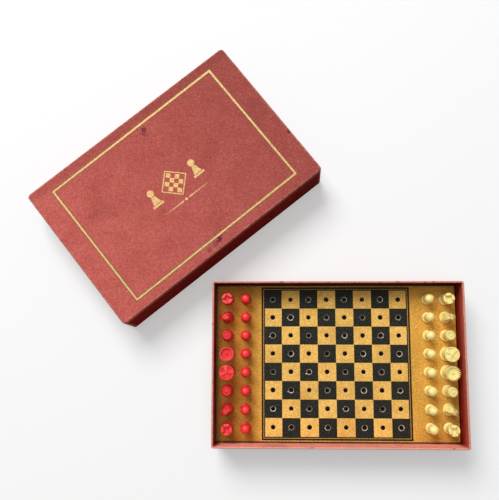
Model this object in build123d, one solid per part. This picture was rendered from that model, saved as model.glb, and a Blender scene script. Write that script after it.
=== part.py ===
from build123d import *
import os
from math import cos, radians, sin

# A pocket chess set in a two-part card box, in millimetres.
# The origin is the centre of the tray's underside, X runs along the tray and Z points up.
# The lid is off and stands on the table beside the tray.

# Board panel and its peg holes
square = 12.0  # side of a printed square, and the pitch of the peg holes
squares_per_side = 8
storage_columns = 2  # spare columns of holes at each end, one pitch apart
right_shift = 0.8  # the storage columns at the +X end are punched this much further out
end_margin = 7.1  # from the last storage column to the panel's end
side_margin = 3.1  # from the printed field to the panel's long edge
panel_thickness = 3.0

# Pegs
peg_diameter = 2.1
peg_length = 6.5
peg_clearance = 0.2  # all round, between peg and hole
peg_chamfer = 0.3

# Tray
paper = 0.2  # cover paper
tray_card = 0.8
panel_clearance = 0.7  # all round, between panel and tray
strip_height = 8.2  # support strips under the panel
strip_width = 5.0
rim_above_panel = 18.0
tray_corner_radius = 1.6
wrap_reveal = 0.3  # bare card below the cover paper

# Lid
lid_card = 1.0
lid_clearance = 0.3  # all round, between lid and tray
lid_hang = 0.2  # from the closed lid's lower edge to the table
lid_corner_radius = 2.4
lid_edge_radius = 1.0
lid_turn = 38.4  # degrees, where the lid was set down
lid_gap = 13.3  # from the tray's corner to the lid's long side
lid_shift = 20.3  # along the lid's long side, from that corner to the lid's middle

# Feet and stems of the men
foot_edge = 1.1
foot_round = 0.8
stem_hollow = 0.25

# Pawns
pawn_base = 6.9
pawn_neck = 5.5
pawn_head = 6.2
pawn_height = 12.6

# Rooks
rook_base = 7.6
rook_neck = 6.2
rook_neck_height = 9.0
rook_flare = 1.0
rook_crown = 7.2
rook_height = 13.2
rook_well = 3.8
rook_well_depth = 2.6
rook_notch = 1.5
rook_notch_depth = 2.0
rook_notches = 4

# Bishops
bishop_base = 7.7
bishop_neck = 6.0
bishop_neck_height = 10.0
bishop_head = 6.7
bishop_head_edge = 1.2
bishop_height = 14.2
bishop_groove_outer = 3.7
bishop_groove_inner = 2.6
bishop_groove_depth = 0.45
bishop_nib = 0.9

# Queens
queen_base = 9.5
queen_neck = 6.6
queen_neck_height = 10.2
queen_crown = 9.6
queen_height = 15.2
queen_rim = 1.1
queen_dish_depth = 1.3
queen_dish_slope = 0.3
queen_bead = 1.8
queen_teeth = 24
queen_tooth_gap = 0.7
queen_tooth_depth = 1.2
queen_tooth_reach = 0.9

# Kings
king_base = 9.3
king_neck = 6.8
king_neck_height = 10.2
king_crown = 9.6
king_crown_edge = 1.3
king_height = 15.2
king_rim = 0.6
king_dish_depth = 0.8
king_arms = 4
king_cross_waist = 1.0
king_cross_end = 2.4
king_boss = 2.0
king_boss_height = 0.6

# Knights
knight_base = 8.0
knight_plinth = 6.8
knight_plinth_height = 3.0
knight_height = 14.4
knight_reach = 4.9  # nose tip from the peg's axis
knight_depth = 3.0  # back of the mane from the peg's axis
knight_cheek = 4.8  # width across the cheeks
knight_neck = 6.0  # width across the neck at the foot
knight_muzzle = 2.8  # width across the nose
knight_mane = 3.4  # width across the back of the mane
knight_crown = 3.2  # width across the top of the head
knight_mouth = 0.3
knight_eye = 0.9
knight_lock = 0.9  # width of each cut in the mane
knight_locks = 4

# Sizes that follow from those above
field = square * squares_per_side
storage_reach = field / 2 + square * storage_columns
panel_length = 2 * (storage_reach + end_margin) + right_shift
panel_width = field + 2 * side_margin
hole_diameter = peg_diameter + 2 * peg_clearance
well_length = panel_length + 2 * panel_clearance
well_width = panel_width + 2 * panel_clearance
tray_length = well_length + 2 * (tray_card + 2 * paper)
tray_width = well_width + 2 * (tray_card + 2 * paper)
panel_bottom = tray_card + strip_height
panel_top = panel_bottom + panel_thickness
tray_height = panel_top + rim_above_panel
lid_room_length = tray_length + 2 * lid_clearance
lid_room_width = tray_width + 2 * lid_clearance
lid_length = lid_room_length + 2 * (lid_card + paper)
lid_width = lid_room_width + 2 * (lid_card + paper)
lid_room_height = tray_height - lid_hang
lid_height = lid_room_height + lid_card + paper

seat = (Align.CENTER, Align.CENTER, Align.MIN)  # a shape stands on its own lowest face
os.makedirs("parts", exist_ok=True)


def save(name, solid):
    solid.label = name
    export_step(solid, f"parts/{name}.step")


def block(length, width, low, high, corner=0.0):
    """An upright block between two heights, with its four upright corners rounded."""
    outline = RectangleRounded(length, width, corner) if corner else Rectangle(length, width)
    return Pos(0, 0, low) * extrude(outline, high - low)


# Tray: card base and walls, wrapped in paper over the rim
def tray_shell():
    card = block(
        tray_length - 2 * paper, tray_width - 2 * paper, 0, tray_height - paper, tray_corner_radius - paper
    )
    return card - block(well_length + 2 * paper, well_width + 2 * paper, tray_card, tray_height)


def tray_wrap():
    outside = block(tray_length, tray_width, wrap_reveal, tray_height, tray_corner_radius)
    well = block(well_length, well_width, 0, tray_height)
    base = block(well_length + 2 * paper, well_width + 2 * paper, 0, tray_card)
    return outside - well - tray_shell() - base


def support_strips():
    """Two long strips against the long walls, and two short ones between them."""
    long_strip = block(well_length, strip_width, tray_card, panel_bottom)
    short_strip = block(strip_width, well_width - 2 * strip_width, tray_card, panel_bottom)
    side = (well_width - strip_width) / 2
    end = (well_length - strip_width) / 2
    return {
        "support_strip_front": Pos(0, -side, 0) * long_strip,
        "support_strip_back": Pos(0, side, 0) * long_strip,
        "support_strip_left": Pos(-end, 0, 0) * short_strip,
        "support_strip_right": Pos(end, 0, 0) * short_strip,
    }


# Panel: a hole in every square, and the storage columns one pitch apart beyond the field
rows = [square * (squares_per_side / 2 - 0.5 - row) for row in range(squares_per_side)]
field_columns = [-row for row in rows]
storage_reaches = [field / 2 + square * (column + 1) for column in range(storage_columns)]
storage_right = [right_shift + reach for reach in storage_reaches]
storage_left = [-reach for reach in storage_reaches]


def board_panel():
    places = [(x, y) for x in field_columns + storage_left + storage_right for y in rows]
    sheet = Pos(right_shift / 2, 0) * Rectangle(panel_length, panel_width)
    outline = sheet - Locations(*places) * Circle(hole_diameter / 2)
    return Pos(0, 0, panel_bottom) * extrude(outline, panel_thickness)


# Lid: card top and skirt, wrapped in paper, turned and set down beside the tray
def lid_place():
    turn = radians(lid_turn)
    along = Vector(cos(turn), sin(turn), 0)
    away = Vector(-sin(turn), cos(turn), 0)
    corner = Vector(-tray_length / 2, tray_width / 2, 0)
    centre = corner + along * lid_shift + away * (lid_gap + lid_width / 2)
    return Pos(centre.X, centre.Y, 0) * Rot(0, 0, lid_turn)


def soft_topped(solid, radius):
    return fillet(solid.faces().sort_by(Axis.Z)[-1].edges(), radius)


def lid_shell():
    card = block(
        lid_length - 2 * paper, lid_width - 2 * paper, 0, lid_height - paper, lid_corner_radius - paper
    )
    card = soft_topped(card, lid_edge_radius - paper)
    return card - block(lid_room_length, lid_room_width, 0, lid_room_height)


def lid_wrap():
    outside = block(lid_length, lid_width, wrap_reveal, lid_height, lid_corner_radius)
    outside = soft_topped(outside, lid_edge_radius)
    return outside - lid_shell() - block(lid_room_length, lid_room_width, 0, lid_room_height)


# Men: each stands with its foot at height zero and its peg below
def stem(base, neck, neck_height):
    """The outline from the axis along the foot and up a slightly hollow stem to the neck."""
    foot = base / 2
    shoulder = foot - foot_round
    shoulder_height = foot_edge + foot_round
    bend = foot_round * sin(radians(45))
    waist = (shoulder + neck / 2) / 2 - stem_hollow
    return [
        Line((0, 0), (foot, 0)),
        Line((foot, 0), (foot, foot_edge)),
        ThreePointArc((foot, foot_edge), (shoulder + bend, foot_edge + bend), (shoulder, shoulder_height)),
        ThreePointArc(
            (shoulder, shoulder_height),
            (waist, (shoulder_height + neck_height) / 2),
            (neck / 2, neck_height),
        ),
    ]


def turned(outline, head):
    """Turns an outline, carried on by straight runs or given curves back to the axis."""
    edges = list(outline)
    for step in head:
        start = edges[-1] @ 1
        if isinstance(step, tuple):
            edges.append(Line(start, step))
        else:
            edges.append(step(start))
    edges.append(Line(edges[-1] @ 1, (0, 0)))
    return revolve(Plane.XZ * make_face(edges), Axis.Z)


def arc(middle, end):
    return lambda start: ThreePointArc(start, middle, end)


def pegged(man):
    peg = Pos(0, 0, -peg_length) * extrude(Circle(peg_diameter / 2), peg_length)
    tip = peg.faces().sort_by(Axis.Z)[0].edges()
    return man + chamfer(tip, peg_chamfer)


def pawn():
    head = pawn_head / 2
    centre = pawn_height - head
    neck_height = centre - (head**2 - (pawn_neck / 2) ** 2) ** 0.5
    return turned(stem(pawn_base, pawn_neck, neck_height), [arc((head, centre), (0, pawn_height))])


def rook():
    crown = rook_crown / 2
    flare_top = rook_neck_height + rook_flare
    well_floor = rook_height - rook_well_depth
    tower = turned(
        stem(rook_base, rook_neck, rook_neck_height),
        [
            (crown, flare_top),
            (crown, rook_height),
            (rook_well / 2, rook_height),
            (rook_well / 2, well_floor),
            (0, well_floor),
        ],
    )
    notch = Pos(crown / 2, 0, rook_height) * Box(crown + rook_notch, rook_notch, 2 * rook_notch_depth)
    return tower - PolarLocations(0, rook_notches, 180 / rook_notches) * notch


def bishop():
    head = bishop_head / 2
    head_low = bishop_neck_height + bishop_head_edge
    head_high = bishop_height - bishop_head_edge
    groove = bishop_height - bishop_groove_depth
    nib = bishop_nib / 2
    shoulder = (head + bishop_groove_outer / 2) / 2
    return turned(
        stem(bishop_base, bishop_neck, bishop_neck_height),
        [
            (head, head_low),
            (head, head_high),
            (shoulder, bishop_height),
            (bishop_groove_outer / 2, bishop_height),
            (bishop_groove_outer / 2, groove),
            (bishop_groove_inner / 2, groove),
            (bishop_groove_inner / 2, bishop_height),
            (nib, bishop_height),
            arc((nib * sin(radians(45)), bishop_height + nib * cos(radians(45))), (0, bishop_height + nib)),
        ],
    )


def queen():
    crown = queen_crown / 2
    neck = queen_neck / 2
    rise = queen_height - queen_neck_height
    dish = queen_height - queen_dish_depth
    bead = queen_bead / 2
    inner = crown - queen_rim
    body = turned(
        stem(queen_base, queen_neck, queen_neck_height),
        [
            arc((neck + (crown - neck) * 0.3, queen_neck_height + rise * 0.55), (crown, queen_height)),
            (inner, queen_height),
            (inner - queen_dish_slope, dish),
            (bead, dish),
            arc((bead * sin(radians(45)), dish + bead * cos(radians(45))), (0, dish + bead)),
        ],
    )
    gap = Pos(crown, 0, queen_height) * Box(2 * queen_tooth_reach, queen_tooth_gap, 2 * queen_tooth_depth)
    return body - PolarLocations(0, queen_teeth) * gap


def king():
    crown = king_crown / 2
    neck = king_neck / 2
    edge_low = king_height - king_crown_edge
    rise = edge_low - king_neck_height
    dish = king_height - king_dish_depth
    inner = crown - king_rim
    body = turned(
        stem(king_base, king_neck, king_neck_height),
        [
            arc((neck + (crown - neck) * 0.35, king_neck_height + rise * 0.55), (crown, edge_low)),
            (crown, king_height),
            (inner, king_height),
            (inner, dish),
            (0, dish),
        ],
    )
    reach = inner + king_rim / 2
    arm = make_face(
        Polyline(
            (0, king_cross_waist / 2),
            (reach, king_cross_end / 2),
            (reach, -king_cross_end / 2),
            (0, -king_cross_waist / 2),
            close=True,
        )
    )
    bar = Pos(0, 0, dish) * extrude(arm, king_dish_depth)
    boss = Pos(0, 0, king_height) * Cone(king_boss / 2, king_boss / 4, king_boss_height, align=seat)
    return body + PolarLocations(0, king_arms) * bar + boss


def knight():
    """A foot and plinth with a horse's head that is cut to three outlines: side, front and top."""
    low = foot_edge + foot_round
    tall = knight_height - low
    nose = knight_reach
    back = knight_depth
    cheek = knight_cheek / 2
    neck = knight_neck / 2
    muzzle = knight_muzzle / 2
    mane = knight_mane / 2
    crown = knight_crown / 2

    def at(across, up):
        return (across, low + up * tall)

    foot = turned(
        stem(knight_base, knight_plinth, knight_plinth_height),
        [(0, knight_plinth_height)],
    )
    side = make_face(
        [
            ThreePointArc(at(-0.85 * back, 0), at(-back, 0.45), at(-0.45 * back, 0.87)),
            Line(at(-0.45 * back, 0.87), at(-0.2 * back, 1)),
            Line(at(-0.2 * back, 1), at(0.08 * nose, 0.88)),
            ThreePointArc(at(0.08 * nose, 0.88), at(0.58 * nose, 0.77), at(0.95 * nose, 0.57)),
            ThreePointArc(at(0.95 * nose, 0.57), at(nose, 0.48), at(0.82 * nose, 0.42)),
            ThreePointArc(at(0.82 * nose, 0.42), at(0.5 * nose, 0.44), at(0.2 * nose, 0.4)),
            ThreePointArc(at(0.2 * nose, 0.4), at(0.35 * nose, 0.22), at(0.62 * nose, 0)),
            Line(at(0.62 * nose, 0), at(-0.85 * back, 0)),
        ]
    )
    front_half = [
        Line(at(0, 0), at(neck, 0)),
        ThreePointArc(at(neck, 0), at(cheek, 0.55), at(crown, 0.88)),
        Line(at(crown, 0.88), at(0.75 * crown, 1)),
        Line(at(0.75 * crown, 1), at(0, 0.88)),
        Line(at(0, 0.88), at(0, 0)),
    ]
    top_half = [
        Line((-back, 0), (-back, mane)),
        Spline((-back, mane), (0, neck), (0.72 * nose, 0.85 * muzzle), (0.9 * nose, muzzle)),
        ThreePointArc((0.9 * nose, muzzle), (0.98 * nose, 0.7 * muzzle), (nose, 0)),
        Line((nose, 0), (-back, 0)),
    ]
    front = make_face(front_half)
    top = make_face(top_half)
    head = extrude(Plane.XZ * side, knight_base, both=True)
    head &= extrude(Plane.YZ * (front + mirror(front, Plane.YZ)), knight_base, both=True)
    head &= extrude(top + mirror(top, Plane.XZ), knight_height)
    mouth = Pos(nose, 0, at(0, 0.48)[1]) * Box(0.7 * nose, knight_base, knight_mouth)
    eye = Sphere(knight_eye / 2)
    eyes = [Pos(0.3 * nose, 0.9 * way * cheek, at(0, 0.7)[1]) * eye for way in (-1, 1)]
    lock = Rot(90, 0, 0) * extrude(Circle(knight_lock / 2), knight_base, both=True)
    locks = [Pos(-back, 0, low + height) * lock for height in lock_heights(tall)]
    return foot + (head - mouth - eyes - locks)


def lock_heights(tall):
    """Heights of the cuts between the locks of the mane, spread over the middle of the neck."""
    lowest = 0.22 * tall
    span = 0.46 * tall
    return [lowest + span * number / (knight_locks - 1) for number in range(knight_locks)]


# Back rows from the far side to the near side, with the way each man is turned in its hole
red_back_row = [
    ("rook_1", rook, -35),
    ("knight_1", knight, 180),
    ("bishop_1", bishop, 0),
    ("queen", queen, 0),
    ("king", king, 12),
    ("bishop_2", bishop, 0),
    ("knight_2", knight, 222),
    ("rook_2", rook, 0),
]
ivory_back_row = [
    ("rook_1", rook, 12),
    ("knight_1", knight, 0),
    ("bishop_1", bishop, 0),
    ("king", king, -35),
    ("queen", queen, 0),
    ("bishop_2", bishop, 0),
    ("knight_2", knight, -30),
    ("rook_2", rook, 5),
]


def save_side(colour, back_row, storage):
    """Puts one side's pawns in the column next to the field and its other men in the outer column."""
    pawn_column, back_column = storage
    shapes = {make: pegged(make()) for make in (pawn, rook, bishop, queen, king, knight)}
    for row, (name, make, turn) in zip(rows, back_row):
        save(f"{colour}_{name}", Pos(back_column, row, panel_top) * Rot(0, 0, turn) * shapes[make])
    for number, row in enumerate(rows, 1):
        save(f"{colour}_pawn_{number}", Pos(pawn_column, row, panel_top) * shapes[pawn])


save("tray_shell", tray_shell())
save("tray_wrap", tray_wrap())
for strip_name, strip in support_strips().items():
    save(strip_name, strip)
save("board_panel", board_panel())
save("lid_shell", lid_place() * lid_shell())
save("lid_wrap", lid_place() * lid_wrap())
save_side("red", red_back_row, storage_left)
save_side("ivory", ivory_back_row, storage_right)
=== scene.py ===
from itertools import product
from math import asin, cos, hypot, pi, radians, sin

import bmesh
import bpy
from bpy.props import FloatProperty, FloatVectorProperty, IntProperty, PointerProperty
from mathutils import Matrix, Vector, noise


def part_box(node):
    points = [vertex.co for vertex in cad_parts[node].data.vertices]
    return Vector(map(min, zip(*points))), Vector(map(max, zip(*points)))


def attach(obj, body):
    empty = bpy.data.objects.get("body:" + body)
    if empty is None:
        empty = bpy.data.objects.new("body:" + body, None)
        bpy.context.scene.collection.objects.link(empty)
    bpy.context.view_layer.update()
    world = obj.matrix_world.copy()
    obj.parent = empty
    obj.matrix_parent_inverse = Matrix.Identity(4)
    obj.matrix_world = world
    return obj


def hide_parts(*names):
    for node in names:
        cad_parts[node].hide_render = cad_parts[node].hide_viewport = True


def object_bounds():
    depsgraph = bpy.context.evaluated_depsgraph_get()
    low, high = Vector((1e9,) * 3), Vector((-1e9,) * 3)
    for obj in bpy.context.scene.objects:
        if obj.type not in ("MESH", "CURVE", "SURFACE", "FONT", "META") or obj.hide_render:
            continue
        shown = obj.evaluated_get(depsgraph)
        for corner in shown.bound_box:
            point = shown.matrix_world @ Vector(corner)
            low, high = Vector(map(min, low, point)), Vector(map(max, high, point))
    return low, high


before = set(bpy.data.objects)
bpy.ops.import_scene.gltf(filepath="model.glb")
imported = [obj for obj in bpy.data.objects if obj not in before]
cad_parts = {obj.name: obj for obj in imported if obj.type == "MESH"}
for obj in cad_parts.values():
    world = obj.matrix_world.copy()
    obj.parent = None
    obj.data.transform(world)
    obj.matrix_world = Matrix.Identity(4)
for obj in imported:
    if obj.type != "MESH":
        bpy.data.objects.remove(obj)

bl_info = {
    "name": "Pocket chess set finish",
    "version": (1, 0, 0),
    "blender": (4, 5, 0),
    "location": "3D View > Sidebar > Chess set",
    "description": "Dresses a pocket chess set: card box, printed peg panel, gilt lid and moulded men",
    "category": "Object",
}

# All sizes are in metres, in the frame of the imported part
mm = 0.001
cad_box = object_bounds()
sides = ("red", "ivory")

# Points nearer to each other than this are merged
weld = 0.001 * mm

# Ways along and across from the middle of a box to its four corners
corners = tuple(product((-1, 1), repeat=2))


# Sizes that the frame gives
def extent(node, turn):
    """Lowest and highest corner of a node, along axes that are turned about Z."""
    unturn = Matrix.Rotation(-turn, 3, "Z")
    points = [unturn @ vertex.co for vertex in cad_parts[node].data.vertices]
    low = Vector([min(point[axis] for point in points) for axis in range(3)])
    high = Vector([max(point[axis] for point in points) for axis in range(3)])
    return low, high


lid_turn = radians(38.4)
lid_low, lid_high = extent("lid_wrap", lid_turn)
lid_size = lid_high - lid_low
lid_centre = Matrix.Rotation(lid_turn, 3, "Z") @ ((lid_low + lid_high) / 2)
lid_place = Vector((lid_centre.x, lid_centre.y, 0))
lid_frame = Matrix.Translation(lid_place) @ Matrix.Rotation(lid_turn, 4, "Z")
tray_low, tray_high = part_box("tray_wrap")
tray_size = tray_high - tray_low
panel_low, panel_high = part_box("board_panel")
panel_size = panel_high - panel_low
panel_middle = (panel_low.x + panel_high.x) / 2
panel_top = panel_high.z

# Squares from the panel's middle to the edge of its field, and the depth of its printed skin
half_field = 4
skin = 0.05 * mm


# Properties
def size(name, description, default):
    """A length that a user may change."""
    return FloatProperty(
        name=name, description=description, default=default, min=0, unit="LENGTH", precision=5
    )


def colour(name, description, default):
    """A linear colour that a user may change."""
    return FloatVectorProperty(
        name=name, description=description, default=default, min=0, max=1, size=3, subtype="COLOR"
    )


def share(name, description, default):
    """A value from 0 to 1 that a user may change."""
    return FloatProperty(name=name, description=description, default=default, min=0, max=1, subtype="FACTOR")


def spot(name, description, default):
    """A place that a user may change."""
    return FloatVectorProperty(
        name=name, description=description, default=default, precision=5, subtype="TRANSLATION"
    )


def watts(name, description, default):
    """The power of a lamp that a user may change."""
    return FloatProperty(name=name, description=description, default=default, min=0, unit="POWER")


def count(name, description, default):
    """A number of like things that a user may change."""
    return IntProperty(name=name, description=description, default=default, min=1)


class CardBoxProperties(bpy.types.PropertyGroup):
    """The card tray and lid, and the paper that covers them"""

    lid_paper: colour("Lid paper", "Colour of the paper on the lid's top", (0.36, 0.072, 0.06))
    lid_faded: colour("Faded lid", "Colour where the lid's top has faded", (0.43, 0.105, 0.085))
    # Painted shade on the lid's sides: darker below the top edge, darkest at the fade depth
    lid_side: colour("Lid side", "Colour of the paper on the lid's sides", (0.19, 0.008, 0.004))
    lid_fade: size("Lid fade", "Depth at which the lid's side is darkest", 7.0 * mm)
    lid_sheen: share("Lid sheen", "Gloss of the lid's paper", 0.03)
    lid_rub: share("Lid rubbing", "How far the lid's edges are rubbed", 0.4)
    tray_paper: colour("Tray paper", "Colour of the paper along the tray's rim", (0.52, 0.115, 0.085))
    tray_faded: colour("Faded tray", "Colour where the rim's paper has faded", (0.6, 0.16, 0.12))
    # Painted shade on the tray's walls: darker below the rim, darkest at the fade depth
    tray_side: colour("Tray side", "Colour of the paper on the tray's walls", (0.28, 0.02, 0.008))
    tray_fade: size("Tray fade", "Depth at which the tray's side is darkest", 12.0 * mm)
    tray_sheen: share("Tray sheen", "Gloss of the tray's paper", 0.02)
    tray_rub: share("Tray rubbing", "How far the tray's rim is rubbed", 0.75)
    # Painted light inside the near wall
    near_light: colour("Sunned paper", "Colour of the near wall's bleached inside", (1.0, 0.36, 0.28))
    # Painted shade inside the far wall
    far_shade: colour("Unfaded paper", "Colour of the far wall's shaded inside", (0.06, 0.003, 0.002))
    blush: colour("Blush", "Colour of the paper's pinker blotches", (0.34, 0.05, 0.075))
    soiled: colour("Soiled paper", "Colour of specks and soiled patches", (0.2, 0.03, 0.035))
    stain: colour("Stain", "Colour of the ring marks on the lid", (0.085, 0.018, 0.05))
    bare: colour("Bare paper", "Colour of the paper's core where edges are rubbed", (0.78, 0.38, 0.28))
    card: colour("Card", "Colour of the board under the paper", (0.36, 0.29, 0.21))
    fleck: colour("Fleck", "Colour of the dark flecks in the board", (0.08, 0.06, 0.045))
    paper: size("Paper thickness", "Thickness of the cover paper", 0.2 * mm)
    tray_wall: size("Tray wall", "Thickness of the tray's wall, with paper on both sides", 1.2 * mm)
    tray_floor: size("Tray floor", "Thickness of the tray's floor", 0.8 * mm)
    tray_corner: size("Tray corner", "Radius of the tray's upright corners", 1.6 * mm)
    rim_round: size("Rim radius", "Radius along both edges of the tray's rim", 0.45 * mm)
    lid_corner: size("Lid corner", "Radius of the lid's upright corners", 2.4 * mm)
    lid_edge: size("Lid edge", "Radius along the lid's top edges", 1.0 * mm)
    near_flare: size("Near flare", "How far the lid's near skirt spreads at its lower edge", 1.8 * mm)
    end_flare: size("End flare", "How far its other skirts spread at their lower edge", 0.5 * mm)
    wear_reach: size("Wear reach", "How far the rubbing spreads from an edge", 2.0 * mm)
    # Painted shade along the foot of the tray's inside
    grime: size("Grime", "Height of the grime along the foot of the tray's inside", 4.5 * mm)
    # Painted shade in the near wall's inner corners, where its painted light fades out over this width
    crease: size("Crease", "Width of the dark crease in the near wall's inner corners", 4.0 * mm)
    margin: size("Dark margin", "Lid's middle to its darker far margin", 48.0 * mm)
    flap: size("Flap width", "Width of the paper flaps folded round the corners", 9.0 * mm)
    flap_step: size("Flap step", "Height of a flap's edge above the paper under it", 0.12 * mm)


class GiltProperties(bpy.types.PropertyGroup):
    """The gold foil on the lid"""

    gold: colour("Gold", "Colour of the stamped foil", (0.62, 0.39, 0.14))
    dark_edge: colour("Tarnish", "Colour of the foil's edges", (0.08, 0.03, 0.006))
    rule_half_length: size("Rule half length", "Lid's middle to the rule's short side", 66.6 * mm)
    rule_half_width: size("Rule half width", "Lid's middle to the rule's long side", 46.3 * mm)
    rule: size("Rule width", "Width of the gold rule", 2.2 * mm)
    rule_turn: FloatProperty(
        name="Rule turn", description="How far the rule is turned on the lid", subtype="ANGLE",
        default=radians(0.5),
    )
    foil: size("Foil", "How far the foil stands above the paper", 0.03 * mm)
    ragged: size("Ragged edge", "How far the foil's edge wanders", 0.06 * mm)
    lozenge: size("Lozenge", "Half diagonal of the chequered lozenge", 10.5 * mm)
    line: size("Line", "Width of the line round the lozenge", 0.7 * mm)
    pawn_place: size("Pawn place", "Lozenge's middle to each small pawn", 17.0 * mm)
    pawn_height: size("Pawn height", "Height of the two small pawns", 13.0 * mm)
    flourish: size("Flourish", "Length of the tapered line under the lozenge", 38.0 * mm)


class PanelProperties(bpy.types.PropertyGroup):
    """The printed panel and its peg holes"""

    square: size("Square", "Side of a printed square", 12.0 * mm)
    frame_inset: size("Frame inset", "How far the frame cuts into the outer columns", 0.8 * mm)
    inner_line: size("Inner line", "Width of the line against the squares", 0.8 * mm)
    frame_gap: size("Frame gap", "Width between the two frame lines", 0.3 * mm)
    outer_line: size("Outer line", "Width of the outer frame line", 1.25 * mm)
    tan: colour("Board", "Colour of the pressed fibre", (0.79, 0.41, 0.07))
    olive: colour("Olive", "Colour of the brownish mottling in the fibre", (0.5, 0.26, 0.026))
    # Painted shade at the panel's left end, as a tint
    shadowed: colour("Browned fibre", "Colour that tints the panel's browned left end", (0.5, 0.1, 0.002))
    pale: colour("Pale square", "Colour of the pale squares", (0.98, 0.59, 0.15))
    fibre: colour("Torn fibre", "Colour of the bare fibre round the dark squares' holes", (0.7, 0.62, 0.52))
    ink: colour("Ink", "Colour of the printed squares and frame", (0.011, 0.011, 0.008))
    scuff: colour("Scuffed ink", "Colour of scratches and specks in the ink", (0.28, 0.29, 0.26))
    fleck: colour("Fleck", "Colour of the dark flecks in the fibre", (0.16, 0.06, 0.012))
    # Painted shade down inside the holes
    hole_shade: colour("Hole", "Colour down inside the holes", (0.03, 0.012, 0.005))
    corner: size("Corner", "Radius of the panel's corners", 0.5 * mm)
    edge: size("Edge", "Radius along the panel's edges", 0.15 * mm)
    hole: size("Hole radius", "Radius of a peg hole", 1.25 * mm)
    torn: size("Torn radius", "Radius of the worn edge round a hole", 1.95 * mm)
    torn_depth: size("Torn depth", "Depth of the worn edge round a hole", 0.6 * mm)
    ragged: size("Ragged edge", "How far the worn edge wanders", 0.22 * mm)
    chip: size("Chip", "Length of the chips beside some holes", 2.3 * mm)
    chip_depth: size("Chip depth", "Depth of the chips beside some holes", 0.22 * mm)
    seed: IntProperty(name="Seed", description="Chooses which holes are chipped and how", default=7)


class PlasticProperties(bpy.types.PropertyGroup):
    """What all the moulded men have in common"""

    red: colour("Red", "Colour of the red men", (0.96, 0.018, 0.026))
    red_flow: colour("Red flow", "Colour of the red men's flow marks", (0.88, 0.013, 0.02))
    # The red men's tops carry this pale colour as a painted highlight
    red_worn: colour("Worn red", "Colour of the red men's worn tops", (0.96, 0.12, 0.105))
    ivory: colour("Ivory", "Colour of the ivory men", (1.0, 0.89, 0.36))
    ivory_flow: colour("Ivory flow", "Colour of the ivory men's flow marks", (0.93, 0.74, 0.24))
    # The ivory men's tops are tinted this colour from the crest down
    ivory_worn: colour("Worn ivory", "Colour of the ivory men's worn tops", (0.96, 0.8, 0.29))
    # Painted shade at the men's feet
    red_foot: share("Red foot", "How much darker the red men are at the foot", 0.35)
    ivory_foot: share("Ivory foot", "How much darker the ivory men are at the foot", 0.0)
    # Painted shade in the recesses of the men's tops
    red_recess: share("Red recess", "How much darker the red men are in recesses", 0.24)
    ivory_recess: share("Ivory recess", "How much darker the ivory men are in recesses", 0.1)
    roughness: share("Roughness", "Roughness of the moulded skin", 0.4)
    segments: count("Segments", "Steps round a turned man", 96)
    corner_steps: count("Corner steps", "Steps round a softened edge", 3)
    seam: size("Seam", "Height of the mould seam on two sides of each man", 0.035 * mm)
    soft: size("Soft edge", "Radius of the men's softened edges", 0.2 * mm)
    peg: size("Peg radius", "Radius of the pegs", 1.05 * mm)
    peg_length: size("Peg length", "Length of the pegs", 6.5 * mm)
    peg_chamfer: size("Peg chamfer", "Chamfer at the pegs' tips", 0.3 * mm)
    foot_edge: size("Foot edge", "Height of a foot's upright edge", 1.1 * mm)
    foot_round: size("Foot round", "Radius over a foot's edge", 0.8 * mm)
    hollow: size("Stem hollow", "How far a stem curves in", 0.25 * mm)
    grain: size("Knight detail", "Finest detail of the knights' moulded surface", 0.13 * mm)


class PawnProperties(bpy.types.PropertyGroup):
    """The pawns, above their feet"""

    neck: size("Neck", "Neck diameter", 5.5 * mm)
    head: size("Head", "Head diameter", 6.2 * mm)


class RookProperties(bpy.types.PropertyGroup):
    """The rooks, above their feet"""

    neck: size("Neck", "Neck diameter", 6.2 * mm)
    neck_height: size("Neck height", "Height of the neck", 9.0 * mm)
    flare: size("Flare", "Height of the cone under the crown", 1.0 * mm)
    crown: size("Crown", "Crown diameter", 7.2 * mm)
    well: size("Well", "Diameter of the well in the crown", 3.8 * mm)
    well_depth: size("Well depth", "Depth of the well", 2.6 * mm)
    notches: count("Notches", "Number of gaps in the crown", 4)
    notch: size("Notch", "Width of the gaps in the crown", 1.2 * mm)
    notch_depth: size("Notch depth", "Depth of the gaps in the crown", 2.0 * mm)


class BishopProperties(bpy.types.PropertyGroup):
    """The bishops, above their feet"""

    neck: size("Neck", "Neck diameter", 6.0 * mm)
    neck_height: size("Neck height", "Height of the neck", 10.0 * mm)
    head: size("Head", "Head diameter", 6.7 * mm)
    head_edge: size("Head edge", "Height of the cones under and over the head", 1.2 * mm)
    groove_outer: size("Groove outside", "Outer diameter of the ring groove", 3.7 * mm)
    groove_inner: size("Groove inside", "Inner diameter of the ring groove", 2.6 * mm)
    groove_depth: size("Groove depth", "Depth of the ring groove", 0.45 * mm)
    nib: size("Nib", "Diameter of the nib on top", 0.9 * mm)


class QueenProperties(bpy.types.PropertyGroup):
    """The queens, above their feet"""

    neck: size("Neck", "Neck diameter", 6.6 * mm)
    neck_height: size("Neck height", "Height of the neck", 10.2 * mm)
    crown: size("Crown", "Crown diameter", 9.6 * mm)
    rim: size("Rim", "Width of the crown's rim", 1.1 * mm)
    dish_depth: size("Dish depth", "Depth of the dish in the crown", 1.3 * mm)
    dish_slope: size("Dish slope", "How far the dish's wall leans in", 0.3 * mm)
    bead: size("Bead", "Diameter of the bead in the dish", 1.8 * mm)
    teeth: count("Teeth", "Number of points round the crown", 24)
    tooth_gap: size("Tooth gap", "Width between two points", 0.6 * mm)
    tooth_depth: size("Tooth depth", "Depth between two points", 1.2 * mm)
    tooth_reach: size("Tooth reach", "How far the gaps cut into the rim", 0.9 * mm)


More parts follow.
